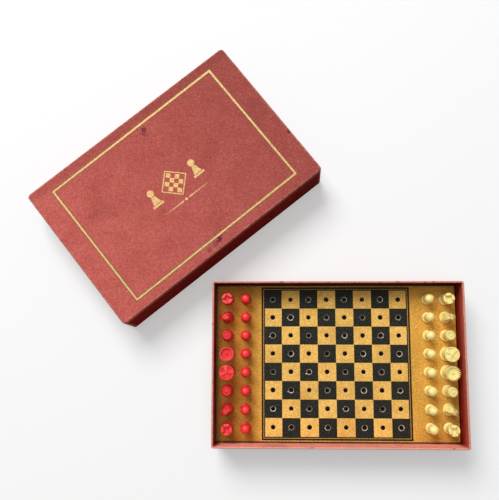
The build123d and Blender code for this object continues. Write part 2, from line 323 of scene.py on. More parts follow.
class KingProperties(bpy.types.PropertyGroup):
    """The kings, above their feet"""

    neck: size("Neck", "Neck diameter", 6.8 * mm)
    neck_height: size("Neck height", "Height of the neck", 10.2 * mm)
    crown: size("Crown", "Crown diameter", 9.6 * mm)
    crown_edge: size("Crown edge", "Height of the crown's upright edge", 1.3 * mm)
    rim: size("Rim", "Width of the crown's rim", 0.6 * mm)
    dish_depth: size("Dish depth", "Depth of the pockets round the cross", 0.8 * mm)
    arms: count("Arms", "Number of arms of the cross", 4)
    cross_waist: size("Cross waist", "Width of the cross at its middle", 1.0 * mm)
    cross_end: size("Cross end", "Width of the cross at the rim", 2.4 * mm)
    boss: size("Boss", "Diameter of the boss on the cross", 2.0 * mm)
    boss_height: size("Boss height", "Height of the boss on the cross", 0.6 * mm)


class StageProperties(bpy.types.PropertyGroup):
    """The floor, the lamps and the camera"""

    lens: FloatProperty(name="Lens", description="Focal length", default=47.19, unit="CAMERA")
    camera_place: spot("Camera", "Where the camera stands", (-0.04368, 0.0156, 0.45584))
    camera_turn: FloatVectorProperty(
        name="Camera turn", description="How the camera is turned", subtype="EULER",
        default=(radians(7.74), radians(1.807), radians(0.074)),
    )
    floor: colour("Floor", "Colour of the floor", (0.6, 0.6, 0.6))
    floor_bounce: colour("Floor bounce", "Colour of the floor as it lights the object", (0.5, 0.5, 0.5))
    floor_lift: share("Floor lift", "How much whiter the camera sees the floor", 0.36)
    ambient: share("Ambient", "Light from all round", 0.12)
    far_place: spot("Far lamp", "Where the far lamp hangs", (-0.68, 1.24, 1.66))
    far_size: size("Far lamp size", "Side of the far lamp", 1.1)
    far_power: watts("Far lamp power", "Power of the far lamp", 41.5)
    top_place: spot("Top lamp", "Where the top lamp hangs", (0.0, 0.1, 1.9))
    top_size: size("Top lamp size", "Side of the top lamp", 1.2)
    top_power: watts("Top lamp power", "Power of the top lamp", 8.0)


property_groups = {
    "chess_box": CardBoxProperties,
    "chess_gilt": GiltProperties,
    "chess_panel": PanelProperties,
    "chess_plastic": PlasticProperties,
    "chess_pawn": PawnProperties,
    "chess_rook": RookProperties,
    "chess_bishop": BishopProperties,
    "chess_queen": QueenProperties,
    "chess_king": KingProperties,
    "chess_stage": StageProperties,
}


# Nodes
class NodeMaker:
    """Short calls for the nodes that materials, the world and geometry trees have in common."""

    def __init__(self, graph):
        self.graph = graph

    def feed(self, socket, value):
        """Links a source to a socket, or sets the socket's own value."""
        if isinstance(value, bpy.types.NodeSocket):
            self.graph.links.new(value, socket)
        elif socket.type == "RGBA":
            socket.default_value = (*value, 1)
        else:
            socket.default_value = value

    def math(self, operation, first, second=0.0):
        node = self.graph.nodes.new("ShaderNodeMath")
        node.operation = operation
        self.feed(node.inputs[0], first)
        self.feed(node.inputs[1], second)
        return node.outputs[0]

    def times(self, *values):
        """The product of several values, so of conditions 1 only where they all hold."""
        result = values[0]
        for value in values[1:]:
            result = self.math("MULTIPLY", result, value)
        return result

    def spread(self, value, low, high):
        """Spreads a value from 0 to 1 over another range."""
        node = self.graph.nodes.new("ShaderNodeMapRange")
        self.feed(node.inputs["Value"], value)
        node.inputs["To Min"].default_value = low
        node.inputs["To Max"].default_value = high
        return node.outputs["Result"]

    def axes(self, vector):
        node = self.graph.nodes.new("ShaderNodeSeparateXYZ")
        self.feed(node.inputs[0], vector)
        return node.outputs["X"], node.outputs["Y"], node.outputs["Z"]


# Materials
white = (1, 1, 1)


def tinted(tint, amount):
    """A colour made darker or lighter."""
    return [amount * part for part in tint]


class Finish(NodeMaker):
    """A new material, with short calls for the nodes that its colour, gloss and grain need."""

    def __init__(self, name):
        self.material = bpy.data.materials.new(name)
        self.material.use_nodes = True
        super().__init__(self.material.node_tree)
        self.shader = self.graph.nodes["Principled BSDF"]
        self.place = self.add("ShaderNodeTexCoord").outputs["Object"]

    def add(self, kind, **settings):
        node = self.graph.nodes.new(kind)
        for name, value in settings.items():
            setattr(node, name, value)
        return node

    def set(self, name, value):
        self.feed(self.shader.inputs[name], value)

    def step(self, value, low, high):
        """Goes smoothly from 0 at low to 1 at high, whichever of them is larger."""
        node = self.add("ShaderNodeMapRange", interpolation_type="SMOOTHSTEP")
        self.feed(node.inputs["Value"], value)
        node.inputs["From Min"].default_value = min(low, high)
        node.inputs["From Max"].default_value = max(low, high)
        node.inputs["To Min"].default_value = float(low > high)
        node.inputs["To Max"].default_value = float(low < high)
        return node.outputs["Result"]

    def noise(self, lump, detail=3.0, place=None):
        """Noise from 0 to 1 with lumps of about this size."""
        node = self.add("ShaderNodeTexNoise")
        node.inputs["Scale"].default_value = 1 / lump
        node.inputs["Detail"].default_value = detail
        self.feed(node.inputs["Vector"], place or self.place)
        return node.outputs["Fac"]

    def spots(self, lump, low, high, detail=3.0):
        """Spots of about this size, where noise passes from its level low to its level high."""
        return self.step(self.noise(lump, detail), low, high)

    def mapped(self, move=(0, 0, 0), turn=(0, 0, 0), stretch=(1, 1, 1)):
        """The place on a pattern that is moved, turned and stretched."""
        node = self.add("ShaderNodeMapping", vector_type="TEXTURE")
        self.feed(node.inputs["Vector"], self.place)
        node.inputs["Location"].default_value = move
        node.inputs["Rotation"].default_value = turn
        node.inputs["Scale"].default_value = stretch
        return node.outputs["Vector"]

    def mix(self, amount, first, second):
        first_colour = 6
        second_colour = 7
        mixed_colour = 2
        node = self.add("ShaderNodeMix", data_type="RGBA")
        self.feed(node.inputs[0], amount)
        self.feed(node.inputs[first_colour], first)
        self.feed(node.inputs[second_colour], second)
        return node.outputs[mixed_colour]

    def over(self, surface, tint, where, strength):
        """A surface with a tint laid over it, at most at this strength."""
        return self.mix(self.times(where, strength), surface, tint)

    def shaded(self, surface, amount):
        """A surface made darker or lighter by a value that changes over it."""
        node = self.add("ShaderNodeVectorMath", operation="SCALE")
        self.feed(node.inputs[0], surface)
        self.feed(node.inputs["Scale"], amount)
        return node.outputs[0]

    def toned(self, surface, where, low, high):
        """A surface shaded by low where a value is 0 and by high where it is 1."""
        return self.shaded(surface, self.spread(where, low, high))

    def attribute(self, name):
        return self.add("ShaderNodeAttribute", attribute_name=name).outputs["Fac"]

    def bump(self, height, depth, strength):
        """Roughens the surface by a height from 0 to 1 over a depth."""
        node = self.add("ShaderNodeBump")
        node.inputs["Distance"].default_value = depth
        node.inputs["Strength"].default_value = strength
        self.feed(node.inputs["Height"], height)
        self.set("Normal", node.outputs["Normal"])


# Ring-shaped stains on the lid: middle along and across it, radius and width in millimetres, and strength
lid_marks = (
    (6.4, 41.9, 1.1, 0.8, 1.0),
    (4.6, 39.4, 0.0, 2.6, 0.5),
    (16.9, 40.2, 0.0, 0.6, 0.7),
    (-0.6, 41.5, 0.0, 0.7, 0.8),
    (-8.5, 41.8, 0.0, 0.7, 0.6),
    (-0.2, -48.8, 1.0, 1.5, 0.9),
    (1.9, -48.4, 0.8, 1.2, 0.8),
    (-3.6, -50.0, 1.2, 1.0, 0.45),
    (-9.0, -50.6, 0.8, 1.6, 0.45),
    (81.4, -20.7, 0.0, 1.9, 0.8),
    (47.9, 53.6, 0.2, 0.9, 0.7),
    (58.1, 8.2, 20.5, 0.6, 0.12),
)


def ring_mark(finish, along, across, mark):
    """How strongly a ring-shaped stain shows, broken up by noise."""
    *lengths, strength = mark
    middle_along, middle_across, radius, width = [length * mm for length in lengths]
    off_along = finish.math("SUBTRACT", along, middle_along)
    off_across = finish.math("SUBTRACT", across, middle_across)
    squares = finish.math("ADD", finish.times(off_along, off_along), finish.times(off_across, off_across))
    off_ring = finish.math("ABSOLUTE", finish.math("SUBTRACT", finish.math("SQRT", squares), radius))
    ring = finish.step(off_ring, width, 0.2 * width)
    broken = finish.spots(radius + 2 * mm, 0.25, 0.5, detail=1)
    return finish.times(ring, broken, strength)


def paper_finish(box, kind, top):
    """Maroon cover paper for the lid or tray: mottled, specked, and rubbed pale along its edges."""
    finish = Finish(f"maroon_{kind}_paper")
    parts = ("paper", "faded", "side", "fade", "sheen", "rub")
    plain, faded, side, fade, sheen, rub = [getattr(box, f"{kind}_{part}") for part in parts]
    _, _, up = finish.axes(finish.place)
    cloud = finish.noise(2.6 * mm)
    grain = finish.noise(0.6 * mm, detail=2)
    mottle = finish.times(finish.math("ADD", finish.noise(14 * mm), cloud), 0.5)
    surface = finish.mix(finish.step(mottle, 0.25, 0.75), plain, faded)
    top_edge = top - 0.4 * mm
    # Painted shade: the sides turn to the darker side colour from just below the top edge down to the fade
    # depth
    surface = finish.mix(finish.step(up, top_edge, top - fade), surface, side)
    own_look = {"lid": lid_print, "tray": painted_light}
    surface = own_look[kind](finish, box, surface)
    surface = finish.toned(surface, grain, 0.5, 1.5)
    pinker = finish.times(finish.spots(2.4 * mm, 0.48, 0.7), finish.step(up, top - fade, top))
    surface = finish.over(surface, box.blush, pinker, 0.22)
    apart = finish.mapped(move=(0.5, 0.3, 0))
    tooth = finish.noise(1.1 * mm, 2, apart)
    surface = finish.toned(surface, finish.step(tooth, 0.3, 0.7), 0.86, 1.12)
    dust = finish.spots(0.9 * mm, 0.3, 0.24, detail=1)
    surface = finish.over(surface, box.bare, dust, 0.35)
    specks = finish.spots(1.0 * mm, 0.69, 0.76, detail=1)
    surface = finish.over(surface, box.soiled, specks, 0.75)
    soil = finish.spots(30 * mm, 0.55, 0.8, detail=2)
    surface = finish.over(surface, box.soiled, soil, 0.3)
    wear = finish.attribute("wear")
    patches = finish.spread(finish.noise(1.6 * mm), -0.5, 0.5)
    rubbed = finish.step(finish.math("ADD", wear, patches), 0.7, 1.1)
    surface = finish.over(surface, box.bare, rubbed, rub)
    nicks = finish.times(finish.spots(3.2 * mm, 0.66, 0.74, detail=2), finish.step(wear, 0.5, 0.9))
    surface = finish.over(surface, box.soiled, nicks, 0.7)
    finish.set("Base Color", surface)
    polish = 0.7 * sheen
    finish.set("Roughness", finish.spread(cloud, 0.84 - polish, 1 - polish))
    finish.set("Specular IOR Level", sheen)
    finish.bump(finish.math("ADD", grain, finish.times(cloud, 0.6)), 0.06 * mm, 0.5)
    return finish.material


def lid_print(finish, box, surface):
    """The lid's paper, lighter towards its left end and darker at its far margin, with its stains."""
    along, across, _ = finish.axes(finish.mapped(lid_place, (0, 0, lid_turn)))
    in_middle = 1.17
    lost_per_metre = 3.0
    slope = finish.math("ADD", along, finish.times(across, 0.2))
    surface = finish.shaded(surface, finish.math("SUBTRACT", in_middle, finish.times(slope, lost_per_metre)))
    soft = 1.5 * mm
    at_margin = finish.step(across, box.margin - soft, box.margin + soft)
    surface = finish.toned(surface, at_margin, 1.0, 0.84)
    for mark in lid_marks:
        surface = finish.mix(ring_mark(finish, along, across, mark), surface, box.stain)
    return surface


def painted_light(finish, box, surface):
    """The tray's paper: painted light inside its near wall, fading out at its inner corners, and painted
    shade inside its far wall and along the foot of its inside.
    """
    along, across, up = finish.axes(finish.place)
    off_middle = finish.math("ABSOLUTE", along)
    wall = box.tray_wall
    inner_end = tray_high.x - wall
    near = tray_low.y + wall
    far = tray_high.y - wall
    outer_limit = 0.5 * mm
    inner_limit = 0.2 * mm
    # Painted light inside the near wall, patchy, fading out towards its inner corners
    corner_shade = finish.step(off_middle, inner_end - box.crease, inner_end - box.crease / 4)
    on_near = finish.times(
        finish.step(across, near - wall, near - wall / 2),
        finish.step(across, near + outer_limit, near + inner_limit),
        finish.spread(corner_shade, 1.0, 0.2),
        finish.spread(finish.spots(7 * mm, 0.62, 0.42), 0.85, 1.0),
    )
    surface = finish.mix(on_near, surface, box.near_light)
    # Painted shade inside the far wall
    below_rim = tray_high.z - 0.5 * mm
    on_far = finish.times(
        finish.step(across, far - outer_limit, far - inner_limit),
        finish.step(across, far + inner_limit, far),
        finish.step(up, below_rim, tray_high.z - box.tray_fade / 2),
    )
    surface = finish.mix(on_far, surface, box.far_shade)
    # Painted shade along the foot of the inside
    in_shade = finish.times(
        finish.math("LESS_THAN", off_middle, inner_end + wall / 2),
        finish.math("LESS_THAN", finish.math("ABSOLUTE", across), far + wall / 2),
        finish.step(up, panel_top + box.grime, panel_top),
    )
    return finish.toned(surface, in_shade, 1.0, 0.3)


def card_finish(box):
    """Grey-brown box board with flecks of waste paper, made once for the tray and the lid."""
    name = "grey_box_board"
    if name in bpy.data.materials:
        return bpy.data.materials[name]
    finish = Finish(name)
    pulp = finish.noise(1.2 * mm, detail=4)
    fleck = finish.noise(0.6 * mm, detail=1)
    surface = finish.mix(finish.step(pulp, 0.3, 0.7), tinted(box.card, 0.8), box.card)
    surface = finish.mix(finish.step(fleck, 0.72, 0.78), surface, box.fleck)
    surface = finish.mix(finish.step(fleck, 0.3, 0.24), surface, tinted(box.card, 1.7))
    finish.set("Base Color", surface)
    finish.set("Roughness", finish.spread(pulp, 0.8, 0.95))
    finish.bump(pulp, 0.08 * mm, 0.5)
    return finish.material


def gold_finish(gilt, box):
    """Stamped gold foil, darker along its edges and rubbed through in places."""
    finish = Finish("stamped_gold_foil")
    grain = finish.noise(0.35 * mm, detail=2)
    patch = finish.noise(2.2 * mm)
    edge = finish.math("ADD", finish.attribute("wear"), finish.spread(grain, -0.3, 0.3))
    rubbed = finish.step(patch, 0.68, 0.74)
    dull = finish.spots(1.2 * mm, 0.35, 0.65, detail=2)
    surface = finish.mix(finish.step(grain, 0.3, 0.7), tinted(gilt.gold, 0.86), gilt.gold)
    surface = finish.toned(surface, dull, 0.8, 1.15)
    surface = finish.mix(finish.step(edge, 0.35, 0.65), surface, gilt.dark_edge)
    surface = finish.mix(rubbed, surface, box.lid_paper)
    finish.set("Base Color", surface)
    finish.set("Metallic", finish.spread(rubbed, 0.3, 0.0))
    finish.set("Roughness", finish.spread(patch, 0.45, 0.65))
    finish.bump(grain, 0.02 * mm, 0.4)
    return finish.material


def fibre_pattern(finish):
    """Pressed wood fibre as a height from 0 to 1: short strands that lie two ways."""
    strand = 0.35 * mm
    longer = (4, 1, 1)
    ways = []
    for turn in (0.5, -0.9):
        ways.append(finish.noise(strand, 2, finish.mapped(turn=(0, 0, turn), stretch=longer)))
    return finish.times(finish.math("ADD", *ways), 0.5)


def print_cover(finish, panel):
    """Where the ink lies, as two values: the printed pattern, and the chequered field under it."""
    unsteady = 0.12 * mm
    wander = finish.spread(finish.noise(0.4 * mm, detail=2), -unsteady, unsteady)
    along, across, up = finish.axes(finish.place)
    along = finish.math("ADD", along, wander)
    across = finish.math("ADD", across, wander)
    reach_along = finish.math("ADD", finish.math("ABSOLUTE", along), panel.frame_inset)
    reach = finish.math("MAXIMUM", reach_along, finish.math("ABSOLUTE", across))
    edge = half_field * panel.square
    within = []
    for width in (0.0, panel.inner_line, panel.frame_gap, panel.outer_line):
        edge += width
        within.append(finish.math("LESS_THAN", reach, edge))
    in_field, in_line, in_frame, in_print = within
    chequer = finish.times(dark_squares(finish, panel, along, across), in_field)
    inner_line = finish.math("SUBTRACT", in_line, in_field)
    outer_line = finish.math("SUBTRACT", in_print, in_frame)
    pattern = finish.math("MAXIMUM", chequer, finish.math("ADD", inner_line, outer_line))
    on_top = finish.math("GREATER_THAN", up, panel_top - skin)
    return finish.times(pattern, on_top), in_field


def dark_squares(finish, panel, along, across):
    """1 on the dark squares of the chequer and 0 on the pale ones."""
    column = finish.math("FLOOR", finish.math("DIVIDE", along, panel.square))
    row = finish.math("FLOOR", finish.math("DIVIDE", across, panel.square))
    return finish.math("FLOORED_MODULO", finish.math("ADD", column, row), 2.0)


def panel_finish(panel):
    """Tan pressed fibre, with painted shade at its left end and towards the near side of both ends, and the
    chequered field and its frame printed on top.
    """
    finish = Finish("printed_hardboard")
    fibres = fibre_pattern(finish)
    strands = finish.step(fibres, 0.34, 0.66)
    cover, in_field = print_cover(finish, panel)
    tan = finish.mix(strands, tinted(panel.tan, 0.68), tinted(panel.tan, 1.2))
    pale = finish.mix(strands, tinted(panel.pale, 0.76), tinted(panel.pale, 1.14))
    surface = finish.mix(in_field, tan, pale)
    surface = finish.over(surface, panel.tan, finish.spots(5 * mm, 0.42, 0.66), 0.45)
    surface = finish.over(surface, tinted(panel.tan, 0.6), finish.spots(16 * mm, 0.4, 0.75), 0.35)
    along, across, _ = finish.axes(finish.place)
    field_end = half_field * panel.square
    storage_start = field_end + panel.square
    at_left = finish.step(along, -field_end, -storage_start)
    olive = finish.spots(1.3 * mm, 0.45, 0.7, detail=2)
    surface = finish.over(surface, panel.olive, olive, finish.spread(at_left, 0.1, 0.45))
    # Painted shade at the left end: darker and tinted with the shadowed colour
    surface = finish.toned(surface, at_left, 1.0, 0.8)
    surface = finish.over(surface, panel.shadowed, at_left, 0.28)
    # Painted shadow of the men towards the near side of both ends
    outside = finish.step(finish.math("ABSOLUTE", along), field_end, storage_start)
    near_end_shade = finish.times(outside, finish.step(across, 0.0, -field_end))
    surface = finish.toned(surface, near_end_shade, 1.0, 0.76)
    speckle = finish.noise(1.0 * mm, detail=2)
    surface = finish.toned(surface, finish.step(speckle, 0.3, 0.7), 0.8, 1.14)
    flecks = finish.spots(0.5 * mm, 0.72, 0.78, detail=1)
    surface = finish.over(surface, panel.fleck, flecks, 0.6)
    ink = finish.mix(finish.step(fibres, 0.4, 0.75), panel.ink, tinted(panel.ink, 2.6))
    ink = finish.mix(finish.step(speckle, 0.5, 0.75), ink, tinted(panel.ink, 4.5))
    scratched = finish.mapped(turn=(0, 0, 0.7), stretch=(1, 5, 1))
    scratches = finish.step(finish.noise(2.4 * mm, 4, scratched), 0.7, 0.78)
    scuffed = finish.math("MAXIMUM", scratches, finish.spots(0.4 * mm, 0.68, 0.8, detail=1))
    ink = finish.over(ink, panel.scuff, scuffed, 0.5)
    finish.set("Base Color", finish.mix(cover, surface, ink))
    finish.set("Roughness", finish.spread(fibres, 0.5, 0.8))
    finish.set("Specular IOR Level", 0.1)
    finish.bump(fibres, 0.07 * mm, 0.5)
    return finish.material


def torn_finish(panel):
    """Bare fibre at the worn edge of a hole, with painted shade further down."""
    finish = Finish("torn_fibre")
    fibres = finish.noise(0.25 * mm)
    along, across, up = finish.axes(finish.place)
    worn = finish.spots(10 * mm, 0.36, 0.58, detail=0)
    whole = finish.spots(1.8 * mm, 0.35, 0.55, detail=1)
    on_dark = finish.mix(finish.times(worn, whole), tinted(panel.fibre, 0.3), panel.fibre)
    surface = finish.mix(dark_squares(finish, panel, along, across), panel.pale, on_dark)
    surface = finish.toned(surface, fibres, 0.6, 1.3)
    lit = panel_top - 0.28 * mm
    unlit = panel_top - 0.44 * mm
    finish.set("Base Color", finish.mix(finish.step(up, lit, unlit), surface, panel.hole_shade))
    finish.set("Roughness", finish.spread(fibres, 0.75, 0.95))
    finish.bump(fibres, 0.1 * mm, 0.6)
    return finish.material


# For each kind of man: how far down from the top its crest is tinted, how strongly, and where the recesses
# with painted shade start
men_crest_and_recess = {
    "rook": (0.35 * mm, 0.5, 1.6 * mm), "knight": (5.0 * mm, 0.6, 5.0 * mm),
    "bishop": (0.3 * mm, 0.3, 0.4 * mm), "queen": (0.45 * mm, 0.9, 1.0 * mm),
    "king": (0.35 * mm, 0.25, 0.7 * mm), "pawn": (1.2 * mm, 0.3, 4.5 * mm),
}


def plastic_finish(node, crest):
    """Moulded plastic with faint flow marks and an uneven gloss. Its crest is tinted, as a pale painted
    highlight on the red men, and it has painted shade in the recesses of its top and at its foot. It is made
    once for one side's men of one kind."""
    side, kind = node.split("_")[:2]
    name = f"{side}_{kind}_plastic"
    if name in bpy.data.materials:
        return bpy.data.materials[name]
    plastic = bpy.context.scene.chess_plastic
    body = getattr(plastic, side)
    parts = ("flow", "worn", "foot", "recess")
    flow, worn, foot, shade = [getattr(plastic, f"{side}_{part}") for part in parts]
    depth, strength, recess = men_crest_and_recess[kind]
    finish = Finish(name)
    swirl = finish.noise(3.5 * mm, 2, finish.mapped(stretch=(1, 1, 2.5)))
    uneven = finish.noise(0.7 * mm, detail=2)
    _, _, up = finish.axes(finish.place)
    surface = finish.mix(finish.step(swirl, 0.3, 0.7), flow, body)
    # Painted shade towards the foot
    foot_end = panel_top + 7 * mm
    foot_edge = panel_top + 1.5 * mm
    surface = finish.toned(surface, finish.step(up, foot_end, foot_edge), 1.0, 1 - foot)
    # Painted shade in the recesses below the crest
    start = crest - recess
    lip = start + 0.3 * mm
    deep = start - 1 * mm
    bottom = start - 3 * mm
    sunk = finish.times(finish.step(up, lip, start), finish.step(up, bottom, deep))
    surface = finish.toned(surface, sunk, 1.0, 1 - shade)
    # The top tinted from the crest down: a pale painted highlight on the red men
    at_crest = finish.step(up, crest - depth, crest - 0.3 * depth)
    rubbed = finish.times(at_crest, finish.spread(uneven, 0.6, 1.0))
    finish.set("Base Color", finish.over(surface, worn, rubbed, strength))
    finish.set("Roughness", finish.spread(uneven, plastic.roughness - 0.06, plastic.roughness + 0.14))
    finish.set("Subsurface Weight", 0.08)
    finish.set("Subsurface Radius", (1.4 * mm, 0.8 * mm, 0.4 * mm))
    finish.set("Subsurface Scale", 1.0)
    finish.bump(uneven, 0.02 * mm, 0.35)
    return finish.material


# Meshes
def new_piece(name, mesh, *materials):
    """A new object at the origin, with its place in its mesh."""
    piece = bpy.data.objects.new(name, mesh)
    bpy.context.scene.collection.objects.link(piece)
    if materials:
        mesh.materials.clear()
    for material in materials:
        mesh.materials.append(material)
    return piece


def hand_in(piece, body, slot, *nodes):
    """Says what a finished piece moves with and which nodes it stands for. The slot is not used."""
    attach(piece, body)
    if nodes:
        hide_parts(*nodes)


def dress(node, material):
    """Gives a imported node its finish."""
    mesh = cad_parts[node].data
    mesh.materials.clear()
    mesh.materials.append(material)


def smooth(mesh, crease=40.0):
    """Shades a mesh smooth, but sharp wherever it bends by more than the crease in degrees."""
    mesh.shade_smooth()
    mesh.set_sharp_from_angle(angle=radians(crease))


def graded(span, step=4 * mm, near=(0.5 * mm, 1 * mm, 2 * mm, 4 * mm)):
    """Where points stand along a side, from 0 to 1, closer together towards both ends."""
    close = [distance / span for distance in near]
    steps = max(2, round((span - 2 * near[-1]) / step))
    even = [close[-1] + (1 - 2 * close[-1]) * number / steps for number in range(1, steps)]
    return [0.0, *close, *even, *[1 - part for part in reversed(close)], 1.0]


class RingPlan:
    """Rings of points round a rectangle with rounded corners, as many in each whatever its inset."""

    def __init__(self, span, width, radius, corner_steps=5):
        self.half_x = span / 2
        self.half_y = width / 2
        self.radius = radius
        self.corner_steps = corner_steps
        self.parts = {0: graded(width), 1: graded(span)}

    def points(self, inset):
        """Each point and its distance from the nearest upright corner, anticlockwise."""
        half_x = self.half_x - inset
        half_y = self.half_y - inset
        radius = max(self.radius - inset, 0.0)
        found = []
        for side in range(4):
            turn = side * pi / 2
            outward = Vector((cos(turn), sin(turn)))
            forward = Vector((-sin(turn), cos(turn)))
            reach, other = (half_y, half_x) if side % 2 else (half_x, half_y)
            run = other - radius
            for part in self.parts[side % 2]:
                place = outward * reach + forward * run * (2 * part - 1)
                found.append((place, 2 * run * min(part, 1 - part)))
            middle = outward * (reach - radius) + forward * run
            for number in range(1, self.corner_steps):
                angle = turn + pi / 2 * number / self.corner_steps
                found.append((middle + radius * Vector((cos(angle), sin(angle))), 0.0))
        return found


def ring_shell(plan, profile, wear_reach, looped=False):
    """Skins the rings of a plan in turn. The profile gives each ring's inset, height and wear.
    A looped profile closes on itself, and any other is capped at both ends."""
    shell = bmesh.new()
    wear = shell.verts.layers.float.new("wear")
    rings = []
    for inset, height, worn in profile:
        ring = []
        for place, from_corner in plan.points(inset):
            vertex = shell.verts.new((place.x, place.y, height))
            vertex[wear] = max(worn, 1 - hypot(from_corner, inset) / wear_reach)
            ring.append(vertex)
        rings.append(ring)
    add_skin(shell, rings, looped)
    return shell


def add_skin(shell, rings, looped=False):
    """Joins rings of as many points by bands of faces. Rings that don't loop are capped at both ends."""
    uppers = rings[1:] + rings[:1] if looped else rings[1:]
    for lower, upper in zip(rings, uppers):
        for here in range(len(lower)):
            there = (here + 1) % len(lower)
            shell.faces.new((lower[here], lower[there], upper[there], upper[here]))
    if not looped:
        shell.faces.new(rings[0])
        shell.faces.new(rings[-1])


def add_prism(shell, outline, lift):
    """Adds a solid between a flat outline and its copy at the lift."""
    lower = [shell.verts.new(point) for point in outline]
    upper = [shell.verts.new(Vector(point) + Vector(lift)) for point in outline]
    add_skin(shell, [lower, upper])


def to_mesh(shell, name, placing=Matrix.Identity(4)):
    """Merges doubles, turns the faces outwards and gives a plain mesh in its place."""
    bmesh.ops.remove_doubles(shell, verts=shell.verts, dist=weld)
    bmesh.ops.recalc_face_normals(shell, faces=shell.faces)
    shell.transform(placing)
    mesh = bpy.data.meshes.new(name)
    shell.to_mesh(mesh)
    shell.free()
    return mesh


def quarter(inset, height, radius, start, worn, steps=4):
    """Points of a profile on a quarter circle round (inset, height), clockwise from an angle in degrees."""
    angles = [radians(start - 90 * number / steps) for number in range(steps + 1)]
    return [(inset + radius * cos(angle), height + radius * sin(angle), worn) for angle in angles]


# Geometry node trees
class Tree(NodeMaker):
    """A geometry node group, with short calls that add its inputs, nodes and links."""

    def __init__(self, name):
        super().__init__(bpy.data.node_groups.new(name, "GeometryNodeTree"))
        self.graph.interface.new_socket("Geometry", in_out="OUTPUT", socket_type="NodeSocketGeometry")
        self.source = self.graph.nodes.new("NodeGroupInput")
        self.identifiers = {}

    def input(self, name, kind):
        socket = self.graph.interface.new_socket(name, in_out="INPUT", socket_type=f"NodeSocket{kind}")
        self.identifiers[name] = socket.identifier
        return self.source.outputs[name]

    def add(self, kind, settings=None, **inputs):
        """Adds a node and gives its first output. Names of inputs have underscores for spaces."""
        node = self.graph.nodes.new(kind)
        for name, value in (settings or {}).items():
            setattr(node, name, value)
        for name, value in inputs.items():
            wanted = name.replace("_", " ")
            self.feed(next(one for one in node.inputs if one.enabled and one.name == wanted), value)
        return next(one for one in node.outputs if one.enabled)

    def vector(self, x, y, z):
        return self.add("ShaderNodeCombineXYZ", X=x, Y=y, Z=z)

    def chance(self, low, high, seed, draw):
        """A number between low and high that differs from point to point and from draw to draw."""
        number = self.math("ADD", seed, float(draw))
        return self.add("FunctionNodeRandomValue", {"data_type": "FLOAT"}, Min=low, Max=high, Seed=number)

    def within(self, value, limit):
        """True where a value is nearer to 0 than a limit."""
        return self.math("LESS_THAN", self.math("ABSOLUTE", value), limit)

    def named(self, name):
        return self.add("GeometryNodeInputNamedAttribute", {"data_type": "FLOAT"}, Name=name)

    def shape_of(self, item):
        node = self.graph.nodes.new("GeometryNodeObjectInfo")
        self.feed(node.inputs["Object"], item)
        return node.outputs["Geometry"]

    def cut(self, body, tools):
        settings = {"operation": "DIFFERENCE", "solver": "MANIFOLD"}
        return self.add("GeometryNodeMeshBoolean", settings, Mesh_1=body, Mesh_2=tools)

    def end(self, geometry, crease, finishes):
        """Shades smooth up to a crease in degrees, makes instances real and sets each finish in turn."""
        angle = self.add("GeometryNodeInputMeshEdgeAngle")
        sharp = self.math("GREATER_THAN", angle, radians(crease))
        shaded = self.add("GeometryNodeSetShadeSmooth", Geometry=geometry, Shade_Smooth=True)
        shaded = self.add(
            "GeometryNodeSetShadeSmooth", {"domain": "EDGE"},
            Geometry=shaded, Selection=sharp, Shade_Smooth=False,
        )
        finished = self.add("GeometryNodeRealizeInstances", Geometry=shaded)
        for where, material in finishes:
            finished = self.add(
                "GeometryNodeSetMaterial", Geometry=finished, Selection=where, Material=material
            )
        target = self.graph.nodes.new("NodeGroupOutput")
        self.feed(target.inputs[0], finished)


def run_tree(tree, base, values):
    """Runs a tree on a mesh with these input values, and gives the plain mesh that comes out."""
    carrier = new_piece("tree_carrier", base)
    modifier = carrier.modifiers.new("tree", "NODES")
    modifier.node_group = tree.graph
    for name, value in values.items():
        modifier[tree.identifiers[name]] = value
    mesh = plain_mesh(carrier)
    if not mesh.polygons:
        raise RuntimeError(f"the tree {tree.graph.name} made no faces")
    return mesh


def plain_mesh(carrier):
    """The mesh that an object's modifiers make. The object is removed."""
    graph = bpy.context.evaluated_depsgraph_get()
    mesh = bpy.data.meshes.new_from_object(carrier.evaluated_get(graph), depsgraph=graph)
    carrier.modifiers.clear()
    bpy.data.objects.remove(carrier)
    return mesh


